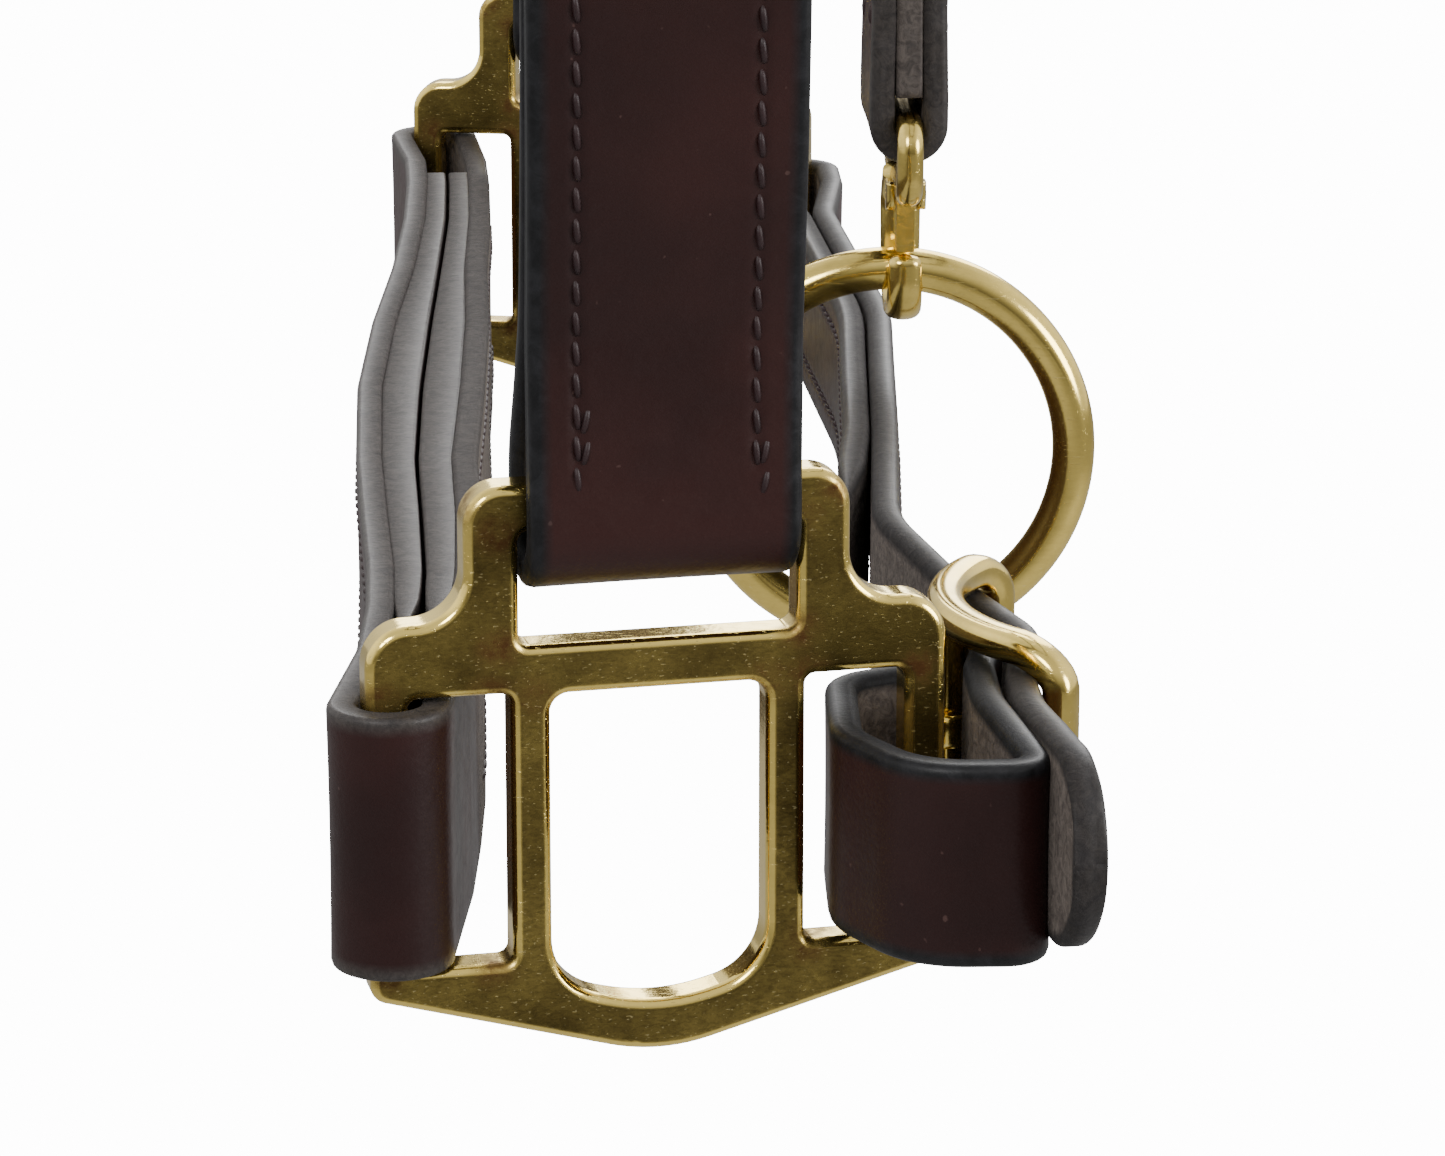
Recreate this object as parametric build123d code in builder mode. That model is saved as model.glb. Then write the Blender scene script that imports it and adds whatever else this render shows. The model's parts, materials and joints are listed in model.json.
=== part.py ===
from build123d import *
from math import acos, asin, atan2, cos, degrees, hypot, radians, sin, sqrt
import os

os.makedirs("parts", exist_ok=True)

# A leather headcollar, hanging from its crown as it would from a peg or over a horse's poll.
# +Z is up, -X is the nose, +X is the jaw, and the near side is at -Y.
# The origin is the underside of the crown strap, at its middle. All sizes are in millimetres.

# Leather
main_width = 24.8            # crown, cheek and nose straps
narrow_width = 19.0          # chin, throat and connector straps
ply = 3.0                    # one thickness of leather
ply_gap = 0.3                # between two plies that lie on each other
seat_gap = 0.35              # between leather and the brass that it goes round

# The whole headcollar
half_span = 124.0            # from the middle plane to each cheek square
toe_in = 11.0                # degrees that each square is turned in towards the jaw
lean_out = 12.0              # degrees that the cheek straps lean out as they leave the squares
cheek_length = 190.0         # from a square's top bar to the middle of the throat ring, along the strap
crown_side_radius = 300.0    # curve of the crown's sides, above the throat rings
crown_radius = 60.0          # curve of the crown over the poll

# Cheek square: one flat brass casting
square_half_width = 26.8
square_top = 26.6            # above the square's middle
square_foot = 28.4           # below the square's middle, before the foot is rounded
square_thickness = 4.5
shoulder_height = 14.2
shoulder_drop = 21.0         # where the straight sides end, below the middle
neck_half_width = 17.75
casting_round = 1.0
top_bar = 4.3
top_slot_width = main_width + 0.8
cross_bar_top = 11.7
slot_height = main_width + 0.8
slot_top = 7.3
side_bar = 3.8
slot_width = 9.4
window_half_width = 10.0
window_foot = 23.6
nose_radius = 18.0

# Rings: one wire size for all three
chin_ring_bore_radius = 18.7
throat_ring_bore_radius = 22.2
ring_wire_radius = 2.45

# Buckles: a frame with a middle bar, on which the chape and the tongue turn
buckle_reach = 16.0          # from the middle bar to each end bar
tongue_end_rise = 6.0        # end bar that the tongue rests on, above the middle bar
keeper_end_rise = 9.4        # end bar that holds the strap's free end, above the middle bar
buckle_bar_radius = 1.8
middle_bar_radius = 1.6
buckle_side = 3.2            # thickness of the frame's side bars
tongue_radius = 1.3
tongue_play = 0.06
tongue_hole_play = 0.6
billet = 3.0                 # thickness of the leather that goes through a buckle
crown_chape_length = 68.0    # from the top of the throat ring's wire to the buckle's middle bar

# Snap hook
snap_stock = 3.0
snap_thickness = 4.6
eye_height = 7.6
hook_play = 0.3
gate_pin_radius = 0.6
gate_hub = 1.4
lug_radius = 1.75
gate_width = 2.0

chin_ring_radius = chin_ring_bore_radius + ring_wire_radius
ring_radius = throat_ring_bore_radius + ring_wire_radius
fold_radius = square_thickness / 2 + 0.6 + ply / 2         # middle of a ply that turns round a square's bar
doubled = 2 * ply + ply_gap
half_main = main_width / 2
half_narrow = narrow_width / 2

# The near side, seen from the front: the cheek leans out to the throat ring, and the crown curves in to the poll.
start_lean = radians(lean_out)
cheek_radius = cheek_length / start_lean
ring_y = -half_span - cheek_radius * (1 - cos(start_lean))
crown_turn = acos((crown_side_radius + ring_y) / (crown_side_radius - crown_radius))
crown_middle_z = billet / 2 - crown_radius
ring_z = crown_middle_z - (crown_side_radius - crown_radius) * sin(crown_turn)
square_z = ring_z - cheek_radius * sin(start_lean) - (square_top - top_bar / 2)
shoulder_distance = cheek_length + crown_side_radius * crown_turn


def side_lean(distance):
    """How far the near side leans out, in radians, this far along it from the square's top bar."""
    if distance < cheek_length:
        return start_lean * (1 - distance / cheek_length)
    return -(distance - cheek_length) / crown_side_radius


def side_point(distance, outward=0.0):
    """The (y, z) place on the near side, this far along it, and this far out from its middle."""
    curve = cheek_radius if distance < cheek_length else crown_side_radius
    lean = side_lean(distance)
    return (ring_y + curve - (curve + outward) * cos(lean), ring_z - (curve + outward) * sin(lean))


def by_ring(rise, outward):
    """The (y, z) place this far above the near throat ring's middle and this far out from it."""
    return (ring_y - outward, ring_z + rise)


def side_path(*places):
    """The (y, z) places of (distance, outward) pairs on the near side curve."""
    return [side_point(distance, outward) for distance, outward in places]


def band(points, radii, thickness, close=False):
    """A strap's edge view: a rounded path made as wide as the leather is thick."""
    with BuildLine() as path:
        FilletPolyline(*points, radius=radii, close=close)
    trace(path.edges(), line_width=thickness)


# ---------------------------------------------------------------- cheek squares

near_square_plane = Plane(
    origin=(0, -half_span, square_z),
    x_dir=(cos(radians(toe_in)), sin(radians(toe_in)), 0),
    z_dir=(sin(radians(toe_in)), -cos(radians(toe_in)), 0),
)
slot_centre_z = square_z + slot_top - slot_height / 2
side_bar_centre = square_half_width - side_bar / 2
side_slot_centre = square_half_width - side_bar - slot_width / 2


def square_outline():
    """The outline of a cheek square: a neck, concave shoulders, straight sides and a shallow pointed foot."""
    half = [
        (neck_half_width, square_top),
        (neck_half_width, shoulder_height),
        (square_half_width, shoulder_height),
        (square_half_width, -shoulder_drop),
        (0, -square_foot),
    ]
    left = [(-x, y) for x, y in half[:-1]]
    points = half + left[::-1]
    radii = [3.5, 4.5, 4.0, 1.8, nose_radius, 1.8, 4.0, 4.5, 3.5]
    with BuildLine() as outline:
        FilletPolyline(*points, radius=radii, close=True)
    make_face(outline.edges())


def square_openings():
    """The strap slots and the window of a cheek square."""
    top_slot_height = square_top - top_bar - cross_bar_top
    with Locations((0, cross_bar_top + top_slot_height / 2)):
        RectangleRounded(top_slot_width, top_slot_height, 1.0, mode=Mode.SUBTRACT)
    with Locations((-side_slot_centre, slot_top - slot_height / 2), (side_slot_centre, slot_top - slot_height / 2)):
        RectangleRounded(slot_width, slot_height, 1.0, mode=Mode.SUBTRACT)
    corner_drop = window_foot - (square_foot - shoulder_drop) * window_half_width / square_half_width
    window = [
        (window_half_width, slot_top - 0.3), (window_half_width, -corner_drop), (0, -window_foot),
        (-window_half_width, -corner_drop), (-window_half_width, slot_top - 0.3),
    ]
    with BuildLine() as outline:
        FilletPolyline(*window, radius=[1.8, 6.0, nose_radius, 6.0, 1.8], close=True)
    make_face(outline.edges(), mode=Mode.SUBTRACT)


with BuildPart() as near_cheek_square:
    with BuildSketch(near_square_plane):
        square_outline()
        square_openings()
    extrude(amount=square_thickness / 2, both=True)
    flats = near_cheek_square.faces().sort_by(SortBy.AREA)[-2:]
    fillet(flats.edges(), casting_round)
near_cheek_square.part.label = "near_cheek_square"
export_step(near_cheek_square.part, "parts/near_cheek_square.step")

with BuildPart() as far_cheek_square:
    mirror(near_cheek_square.part, about=Plane.XZ)
far_cheek_square.part.label = "far_cheek_square"
export_step(far_cheek_square.part, "parts/far_cheek_square.step")


def on_square(along, outward=0.0):
    """The (x, y) place on the near square, this far towards the jaw and out from its middle plane."""
    place = near_square_plane.from_local_coords(Vector(along, 0, outward))
    return (place.X, place.Y)


# ---------------------------------------------------------------- rings

near_ring_plane = Plane(origin=(0, ring_y, ring_z), x_dir=(1, 0, 0), z_dir=(0, -1, 0))

with BuildPart(near_ring_plane) as near_throat_ring:
    Torus(ring_radius, ring_wire_radius)
near_throat_ring.part.label = "near_throat_ring"
export_step(near_throat_ring.part, "parts/near_throat_ring.step")

with BuildPart() as far_throat_ring:
    mirror(near_throat_ring.part, about=Plane.XZ)
far_throat_ring.part.label = "far_throat_ring"
export_step(far_throat_ring.part, "parts/far_throat_ring.step")

# The chin ring stands across the chin strap and hangs in the snap hook.
chin_ring_x = 29.6
chin_ring_y = 6.0
chin_ring_z = square_z - 5.5

with BuildPart(Plane(origin=(chin_ring_x, chin_ring_y, chin_ring_z), z_dir=(0, -1, 0))) as chin_ring:
    Torus(chin_ring_radius, ring_wire_radius)
chin_ring.part.label = "chin_ring"
export_step(chin_ring.part, "parts/chin_ring.step")

# ---------------------------------------------------------------- cheek straps

square_fold_low = -(square_top - top_bar / 2) + 18.4      # middle of the ply under the top bar
lower_join = 16.0            # where the two plies meet above the square
upper_join = cheek_length - ring_radius - ring_wire_radius - 14
ring_fold_radius = ring_wire_radius + seat_gap + ply / 2   # middle of a ply that turns round a ring's wire
wide_fold_rise = sqrt(ring_radius ** 2 - half_main ** 2) - ring_wire_radius - 0.9 - seat_gap - ply / 2
narrow_fold_rise = sqrt(ring_radius ** 2 - half_narrow ** 2) - ring_wire_radius - 0.5 - seat_gap - ply / 2
ring_outside = ring_radius + ring_wire_radius + seat_gap
untwist_length = 110.0       # length of cheek over which the toe-in is turned out


def cheek_plane(distance):
    """The plane across the near cheek strap at this distance, turned with the strap."""
    y, z = side_point(distance)
    lean = side_lean(distance)
    turn = radians(toe_in) * max(0.0, 1 - distance / untwist_length)
    return Plane(origin=(0, y, z), x_dir=(cos(turn), sin(turn), 0), z_dir=(0, -sin(lean), cos(lean)))


cheek_fold_plane = Plane(
    origin=(0, -half_span, square_z + square_top - top_bar / 2),
    x_dir=near_square_plane.z_dir,
    z_dir=-near_square_plane.x_dir,
)

with BuildPart() as near_cheek_strap:
    stations = [12, 40, 75, untwist_length, upper_join + 2]
    for distance in stations:
        with BuildSketch(cheek_plane(distance)):
            Rectangle(main_width, doubled)
    loft()
    lower_fold = [
        (3.4 + ply / 2, lower_join), (fold_radius, 3), (fold_radius, square_fold_low),
        (-fold_radius, square_fold_low), (-fold_radius, 3), (3.4 - ply / 2, lower_join),
    ]
    with BuildSketch(cheek_fold_plane):
        band(lower_fold, [20, fold_radius - 0.01, fold_radius - 0.01, 20], ply)
    extrude(amount=half_main, both=True)
    upper_fold = [
        side_point(upper_join, ply / 2), by_ring(-ring_outside, ring_fold_radius),
        by_ring(-wide_fold_rise, ring_fold_radius), by_ring(-wide_fold_rise, -ring_fold_radius),
        by_ring(-ring_outside, -ring_fold_radius), side_point(upper_join, -ply / 2),
    ]
    with BuildSketch(Plane.YZ):
        band(upper_fold, [8, ring_fold_radius - 0.05, ring_fold_radius - 0.05, 8], ply)
    extrude(amount=half_main, both=True)
near_cheek_strap.part.label = "near_cheek_strap"
export_step(near_cheek_strap.part, "parts/near_cheek_strap.step")

with BuildPart() as far_cheek_strap:
    mirror(near_cheek_strap.part, about=Plane.XZ)
far_cheek_strap.part.label = "far_cheek_strap"
export_step(far_cheek_strap.part, "parts/far_cheek_strap.step")

# ---------------------------------------------------------------- buckles

chape_turn = middle_bar_radius + seat_gap + ply / 2       # middle of a ply that turns round a middle bar
crown_buckle_distance = cheek_length + ring_radius + crown_chape_length
buckle_lean = side_lean(crown_buckle_distance)
crown_buckle_y, crown_buckle_z = side_point(crown_buckle_distance)
crown_buckle_plane = Plane(
    origin=(0, crown_buckle_y, crown_buckle_z),
    x_dir=(0, -sin(buckle_lean), cos(buckle_lean)),
    z_dir=(1, 0, 0),
)


def by_buckle(along, outward):
    """The (y, z) place this far up from the crown buckle's middle bar and this far out from it."""
    place = crown_buckle_plane.from_local_coords(Vector(along, outward, 0))
    return (place.Y, place.Z)


chin_buckle_x = 28.5
chin_buckle_y = -98.0
chin_buckle_plane = Plane(
    origin=(chin_buckle_x, chin_buckle_y, slot_centre_z),
    x_dir=(0, 1, 0),
    z_dir=(0, 0, -1),
)


def frame_side():
    """The side view of a buckle frame, an arch from end bar to end bar by way of the middle bar."""
    with BuildSketch() as side_view:
        with BuildLine() as arch:
            ThreePointArc((-buckle_reach, keeper_end_rise), (0, 0), (buckle_reach, tongue_end_rise))
        trace(arch.edges(), line_width=2 * buckle_bar_radius)
        with Locations((-buckle_reach, keeper_end_rise), (buckle_reach, tongue_end_rise)):
            Circle(buckle_bar_radius)
    return side_view.sketch


def buckle_frame(plane, inside_width):
    """Both side bars and the three cross bars of a buckle frame."""
    for side in (-1, 1):
        with BuildSketch(plane.offset(side * (inside_width / 2 + buckle_side / 2))) as side_bar_view:
            add(frame_side())
        extrude(side_bar_view.sketch, amount=buckle_side / 2, both=True)
    for place, radius in (
        ((-buckle_reach, keeper_end_rise), buckle_bar_radius),
        ((0, 0), middle_bar_radius),
        ((buckle_reach, tongue_end_rise), buckle_bar_radius),
    ):
        with BuildSketch(plane) as cross_bar_view:
            with Locations(place):
                Circle(radius)
        extrude(cross_bar_view.sketch, amount=inside_width / 2 + buckle_side / 2, both=True)


tongue_hub = 1.7             # wall of the tongue's eye round the middle bar
tongue_width = 3.4
end_bar_distance = hypot(buckle_reach, tongue_end_rise)
tongue_rest = buckle_bar_radius + 0.15 + tongue_radius    # from the end bar's middle to the tongue's middle
tongue_angle = degrees(atan2(tongue_end_rise, buckle_reach) + asin(tongue_rest / end_bar_distance))
tongue_length = end_bar_distance + 3.0


def along_tongue(plane, start):
    """The plane across the tongue, this far from the middle bar."""
    lean = radians(tongue_angle)
    heading = plane.x_dir * cos(lean) + plane.y_dir * sin(lean)
    return Plane(origin=plane.origin + heading * start, x_dir=plane.z_dir, z_dir=heading)


def buckle_tongue(plane):
    """A round tongue with an eye that turns on the middle bar."""
    with BuildSketch(along_tongue(plane, 0)) as rod_end:
        Circle(tongue_radius)
    extrude(rod_end.sketch, amount=tongue_length)
    with BuildSketch(plane) as eye:
        Circle(middle_bar_radius + tongue_play + tongue_hub)
    extrude(eye.sketch, amount=tongue_width / 2, both=True)
    with BuildSketch(plane) as eye_hole:
        Circle(middle_bar_radius + tongue_play)
    extrude(eye_hole.sketch, amount=tongue_width, both=True, mode=Mode.SUBTRACT)


buckle_clearance = 0.4       # between a strap's edge and a buckle's side bar

with BuildPart() as crown_buckle_frame:
    buckle_frame(crown_buckle_plane, main_width + 2 * buckle_clearance)
crown_buckle_frame.part.label = "crown_buckle_frame"
export_step(crown_buckle_frame.part, "parts/crown_buckle_frame.step")

with BuildPart() as crown_buckle_tongue:
    buckle_tongue(crown_buckle_plane)
crown_buckle_tongue.part.label = "crown_buckle_tongue"
export_step(crown_buckle_tongue.part, "parts/crown_buckle_tongue.step")

with BuildPart() as chin_buckle_frame:
    buckle_frame(chin_buckle_plane, narrow_width + 2 * buckle_clearance)
chin_buckle_frame.part.label = "chin_buckle_frame"
export_step(chin_buckle_frame.part, "parts/chin_buckle_frame.step")

with BuildPart() as chin_buckle_tongue:
    buckle_tongue(chin_buckle_plane)
chin_buckle_tongue.part.label = "chin_buckle_tongue"
export_step(chin_buckle_tongue.part, "parts/chin_buckle_tongue.step")


def tongue_notch(plane):
    """Room for the tongue's eye in the chape's fold."""
    with BuildSketch(plane) as notch:
        with Locations((1.2, 0)):
            Rectangle(9.6, 12)
    extrude(notch.sketch, amount=tongue_width / 2 + buckle_clearance, both=True, mode=Mode.SUBTRACT)


def tongue_hole(plane):
    """The punched hole that the tongue goes through, opened along the tongue by its pull."""
    with BuildSketch(along_tongue(plane, 4)) as hole:
        Circle(tongue_radius + tongue_hole_play)
    extrude(hole.sketch, amount=buckle_reach - 5, mode=Mode.SUBTRACT)


# ---------------------------------------------------------------- crown

billet_hold = doubled / 2 + seat_gap + billet / 2         # middle of a billet lying on its chape
billet_lift = chape_turn + ply / 2 + 0.95 + billet / 2    # where it passes over the chape's fold
billet_tail = 52.0           # free end of the crown strap below its buckle
chape_join = -53.0           # where the chape's two plies come together above the ring

with BuildPart() as crown_chape:
    waist = (ply + ply_gap) / 2
    chape_points = [
        by_ring(wide_fold_rise, ring_fold_radius), by_ring(wide_fold_rise, -ring_fold_radius),
        by_ring(ring_outside, -ring_fold_radius), by_buckle(chape_join, -waist),
        by_buckle(-16, -waist), by_buckle(-5, -chape_turn), by_buckle(chape_turn, -chape_turn),
        by_buckle(chape_turn, chape_turn), by_buckle(-5, chape_turn), by_buckle(-16, waist),
        by_buckle(chape_join, waist), by_ring(ring_outside, ring_fold_radius),
    ]
    chape_radii = [ring_fold_radius - 0.05] * 2 + [6, 10, 8, 4] + [chape_turn - 0.05] * 2 + [4, 8, 10, 6]
    with BuildSketch(Plane.YZ):
        band(chape_points, chape_radii, ply, close=True)
    extrude(amount=half_main, both=True)
    tongue_notch(crown_buckle_plane)
crown_chape.part.label = "crown_chape"
export_step(crown_chape.part, "parts/crown_chape.step")

with BuildPart() as crown_strap:
    near_points = [
        by_buckle(-billet_tail, billet_hold), by_buckle(-buckle_reach - 5, billet_hold), by_buckle(0, billet_lift),
        by_buckle(buckle_reach + 1, 1.6), side_point(crown_buckle_distance + buckle_reach + 18),
    ]
    near_shoulder = side_point(shoulder_distance)
    far_shoulder = (-near_shoulder[0], near_shoulder[1])
    waist = (ply + ply_gap) / 2
    far_join = cheek_length + ring_outside + 12
    far_start = side_point(far_join, waist)
    far_rise = side_point((far_join + shoulder_distance) / 2, waist / 2)
    near_rise = side_point((crown_buckle_distance + buckle_reach + 18 + shoulder_distance) / 2)
    with BuildSketch(Plane.YZ):
        with BuildLine() as over_poll:
            FilletPolyline(*near_points, radius=[10, 12, 10])
            ThreePointArc(near_points[-1], near_rise, near_shoulder)
            ThreePointArc(near_shoulder, (0, billet / 2), far_shoulder)
            ThreePointArc(far_shoulder, (-far_rise[0], far_rise[1]), (-far_start[0], far_start[1]))
        trace(over_poll.edges(), line_width=billet)
    extrude(amount=half_main, both=True)
    far_fold = [
        side_point(far_join, waist), by_ring(ring_outside, ring_fold_radius),
        by_ring(wide_fold_rise, ring_fold_radius), by_ring(wide_fold_rise, -ring_fold_radius),
        by_ring(ring_outside, -ring_fold_radius), side_point(far_join, -waist), side_point(far_join + 50, -waist),
    ]
    with BuildSketch(Plane.YZ):
        band([(-y, z) for y, z in far_fold], [6, ring_fold_radius - 0.05, ring_fold_radius - 0.05, 6, 10], ply)
    extrude(amount=half_main, both=True)
    tongue_hole(crown_buckle_plane)
crown_strap.part.label = "crown_strap"
export_step(crown_strap.part, "parts/crown_strap.step")

keeper_wall = 1.8
keeper_length = 11.0
keeper_gap = 0.3


def crown_keeper(below_buckle):
    """A leather loop round the chape and the billet, this far below the crown buckle's middle bar."""
    low_side = -doubled / 2 - keeper_gap
    high_side = billet_hold + billet / 2 + keeper_gap
    y, z = by_buckle(-below_buckle, (low_side + high_side) / 2)
    plane = Plane(origin=(0, y, z), x_dir=(1, 0, 0), z_dir=crown_buckle_plane.x_dir)
    inside = (main_width + 2 * keeper_gap, high_side - low_side)
    with BuildSketch(plane) as keeper_view:
        RectangleRounded(inside[0] + 2 * keeper_wall, inside[1] + 2 * keeper_wall, 2.4)
        Rectangle(inside[0], inside[1], mode=Mode.SUBTRACT)
    extrude(keeper_view.sketch, amount=keeper_length / 2, both=True)


fixed_keeper_place = 25.5
running_keeper_place = 40.0

with BuildPart() as crown_fixed_keeper:
    crown_keeper(fixed_keeper_place)
crown_fixed_keeper.part.label = "crown_fixed_keeper"
export_step(crown_fixed_keeper.part, "parts/crown_fixed_keeper.step")

with BuildPart() as crown_running_keeper:
    crown_keeper(running_keeper_place)
crown_running_keeper.part.label = "crown_running_keeper"
export_step(crown_running_keeper.part, "parts/crown_running_keeper.step")

# ---------------------------------------------------------------- noseband

nose_bow_out = 1.0           # how far the outer ply stands out between the squares
nose_bow_in = 1.5            # how far the inner ply stands in
nose_core_end = 26.0         # from a square to the lining between the two plies

with BuildPart() as noseband:
    front_x, front_y = on_square(-side_bar_centre)
    outer_x = front_x - fold_radius
    inner_x = front_x + fold_radius
    end_y = -front_y + fold_radius
    third = half_span / 3
    nose_points = [
        (outer_x, -end_y), (outer_x - nose_bow_out, -third), (outer_x - nose_bow_out, third), (outer_x, end_y),
        (inner_x, end_y), (inner_x + nose_bow_in, third), (inner_x + nose_bow_in, -third), (inner_x, -end_y),
    ]
    fold_turn = fold_radius - 0.15
    nose_radii = [fold_turn, 300, 300, fold_turn, fold_turn, 300, 300, fold_turn]
    with BuildSketch(Plane.XY.offset(slot_centre_z)):
        band(nose_points, nose_radii, ply, close=True)
        with Locations(((outer_x + inner_x) / 2, 0)):
            Rectangle(2 * fold_radius + ply / 3, 2 * (half_span - nose_core_end))
    extrude(amount=half_main, both=True)
noseband.part.label = "noseband"
export_step(noseband.part, "parts/noseband.step")

# ---------------------------------------------------------------- chin

rear_x, rear_y = on_square(side_bar_centre)
lap = ply + ply_gap

with BuildPart() as chin_chape:
    waist_x = chin_buckle_x + ply_gap
    loop_points = [
        (chin_buckle_x + chape_turn, chin_buckle_y + chape_turn),
        (chin_buckle_x + chape_turn, chin_buckle_y - 4),
        (waist_x + ply / 2 + 0.4, chin_buckle_y - 10), (waist_x + ply / 2 + 0.4, rear_y),
        (rear_x + 9.4, rear_y - 20), (rear_x - 1.6, rear_y - 20),
        (rear_x - 7.3, rear_y - 10), (rear_x - 7.0, rear_y + 6),
        (waist_x - ply / 2 - 2.0, rear_y + 10), (chin_buckle_x - chape_turn, chin_buckle_y - 4),
        (chin_buckle_x - chape_turn, chin_buckle_y + chape_turn),
    ]
    loop_radii = [chape_turn - 0.05, 4, 10, 30, 2.6, 8, 10, 4.5, 4, 4, chape_turn - 0.05]
    with BuildSketch(Plane.XY.offset(slot_centre_z)):
        band(loop_points, loop_radii, ply, close=True)
    extrude(amount=half_narrow, both=True)
    tongue_notch(chin_buckle_plane)
chin_chape.part.label = "chin_chape"
export_step(chin_chape.part, "parts/chin_chape.step")

with BuildPart() as chin_strap:
    inner = ply + 0.1
    chin_points = [
        (24.9 - inner, -48), (27.5 - inner, -20), (30.2 - inner, 36), (26.6 - inner, 92),
        (rear_x - fold_radius, -rear_y - 8), (rear_x - fold_radius, -rear_y + fold_radius),
        (rear_x + fold_radius, -rear_y + fold_radius), (rear_x + fold_radius, -rear_y - 8), (26.6, 92),
        (30.2, 36), (27.5, -20), (25.4, -56), (chin_buckle_x + 2.6, chin_buckle_y + 15),
        (chin_buckle_x + billet_lift, chin_buckle_y), (chin_buckle_x + 5.7, chin_buckle_y - 14),
        (rear_x + 10.6, rear_y - 2), (rear_x + 12.6, rear_y - 14), (rear_x + 13.0, rear_y - 27),
        (rear_x + 12.9, rear_y - 36),
    ]
    chin_radii = [150, 150, 60, 12, fold_radius - 0.05, fold_radius - 0.05, 12, 30, 100, 150, 40, 12, 12, 12, 20, 20, 20]
    with BuildSketch(Plane.XY.offset(slot_centre_z)):
        band(chin_points, chin_radii, billet)
    extrude(amount=half_narrow, both=True)
    tongue_hole(chin_buckle_plane)
    with BuildSketch(Plane.YZ.offset(chin_points[-1][0])):
        with Locations((chin_points[-1][1] + half_narrow / 2 - 1, slot_centre_z)):
            Rectangle(half_narrow + 2, narrow_width)
        with Locations((chin_points[-1][1] + half_narrow, slot_centre_z)):
            Circle(half_narrow, mode=Mode.SUBTRACT)
    extrude(amount=6, both=True, mode=Mode.SUBTRACT)
chin_strap.part.label = "chin_strap"
export_step(chin_strap.part, "parts/chin_strap.step")

# ---------------------------------------------------------------- throat strap, connector and snap hook

throat_drop = 18.0           # degrees that the throat strap falls below level towards the jaw
throat_reach = 106.0         # from the throat rings to the strap's middle
throat_plane = Plane(
    origin=(0, 0, ring_z),
    x_dir=(0, -1, 0),
    z_dir=(sin(radians(throat_drop)), 0, cos(radians(throat_drop))),
)
throat_out = -ring_y

with BuildPart() as throat_strap:
    join = ring_outside + 14
    with BuildSketch(throat_plane):
        middle_path = [
            (throat_out, join - 1), (throat_out, throat_reach - 4), (throat_out - 60, throat_reach),
            (60 - throat_out, throat_reach), (-throat_out, throat_reach - 4), (-throat_out, join - 1),
        ]
        band(middle_path, [50, 80, 80, 50], doubled)
        for side in (-1, 1):
            fold = [
                (side * (throat_out + lap / 2), join), (side * (throat_out + ring_fold_radius), ring_outside),
                (side * (throat_out + ring_fold_radius), narrow_fold_rise),
                (side * (throat_out - ring_fold_radius), narrow_fold_rise),
                (side * (throat_out - ring_fold_radius), ring_outside), (side * (throat_out - lap / 2), join),
            ]
            band(fold, [8, ring_fold_radius - 0.05, ring_fold_radius - 0.05, 8], ply)
    extrude(amount=half_narrow, both=True)
throat_strap.part.label = "throat_strap"
export_step(throat_strap.part, "parts/throat_strap.step")

snap_x = 31.0
snap_y = chin_ring_y
wire_height = chin_ring_z + sqrt(chin_ring_radius ** 2 - (snap_x - chin_ring_x) ** 2)
hook_turn = ring_wire_radius + hook_play + snap_stock / 2
hook_tip_rise = 2.6          # above the middle of the ring's wire
gate_pivot_rise = hook_tip_rise + 2 * ring_wire_radius + 0.3 + lug_radius
eye_bar_rise = gate_pivot_rise + 1.0 + eye_height
eye_z = wire_height + eye_bar_rise
snap_plane = Plane(origin=(snap_x, snap_y, wire_height), x_dir=(0, 1, 0), z_dir=(1, 0, 0))
eye_half = half_narrow + buckle_clearance + snap_stock / 2

with BuildPart() as snap_hook:
    with BuildSketch(snap_plane):
        eye_points = [
            (-eye_half, eye_bar_rise), (eye_half, eye_bar_rise),
            (eye_half, eye_bar_rise - eye_height), (-eye_half, eye_bar_rise - eye_height),
        ]
        band(eye_points, 1.6, snap_stock, close=True)
    extrude(amount=snap_stock / 2, both=True)
    with BuildSketch(snap_plane):
        hook_points = [
            (0, eye_bar_rise - eye_height), (hook_turn, eye_bar_rise - eye_height - 2.5),
            (hook_turn, -hook_turn - 0.2), (-hook_turn, -hook_turn - 0.2), (-hook_turn, hook_tip_rise),
        ]
        band(hook_points, [2.5, hook_turn - 0.01, hook_turn - 0.01], snap_stock)
    extrude(amount=snap_thickness / 2, both=True)
    with BuildSketch(snap_plane):
        with Locations((-hook_turn, gate_pivot_rise)):
            Circle(lug_radius)
        with Locations((-hook_turn / 2, eye_bar_rise - eye_height)):
            Rectangle(hook_turn, snap_stock)
        with Locations((-hook_turn, gate_pivot_rise + 1.2)):
            Rectangle(2 * lug_radius, 2.6)
    extrude(amount=snap_thickness / 2, both=True)
    with BuildSketch(snap_plane):
        with Locations((-hook_turn, gate_pivot_rise - 0.6)):
            Rectangle(4 * lug_radius, 4.4)
    extrude(amount=gate_width / 2 + 0.15, both=True, mode=Mode.SUBTRACT)
    with BuildSketch(snap_plane):
        with Locations((-hook_turn, gate_pivot_rise)):
            Circle(gate_pin_radius)
    extrude(amount=snap_thickness, both=True, mode=Mode.SUBTRACT)
snap_hook.part.label = "snap_hook"
export_step(snap_hook.part, "parts/snap_hook.step")

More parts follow.
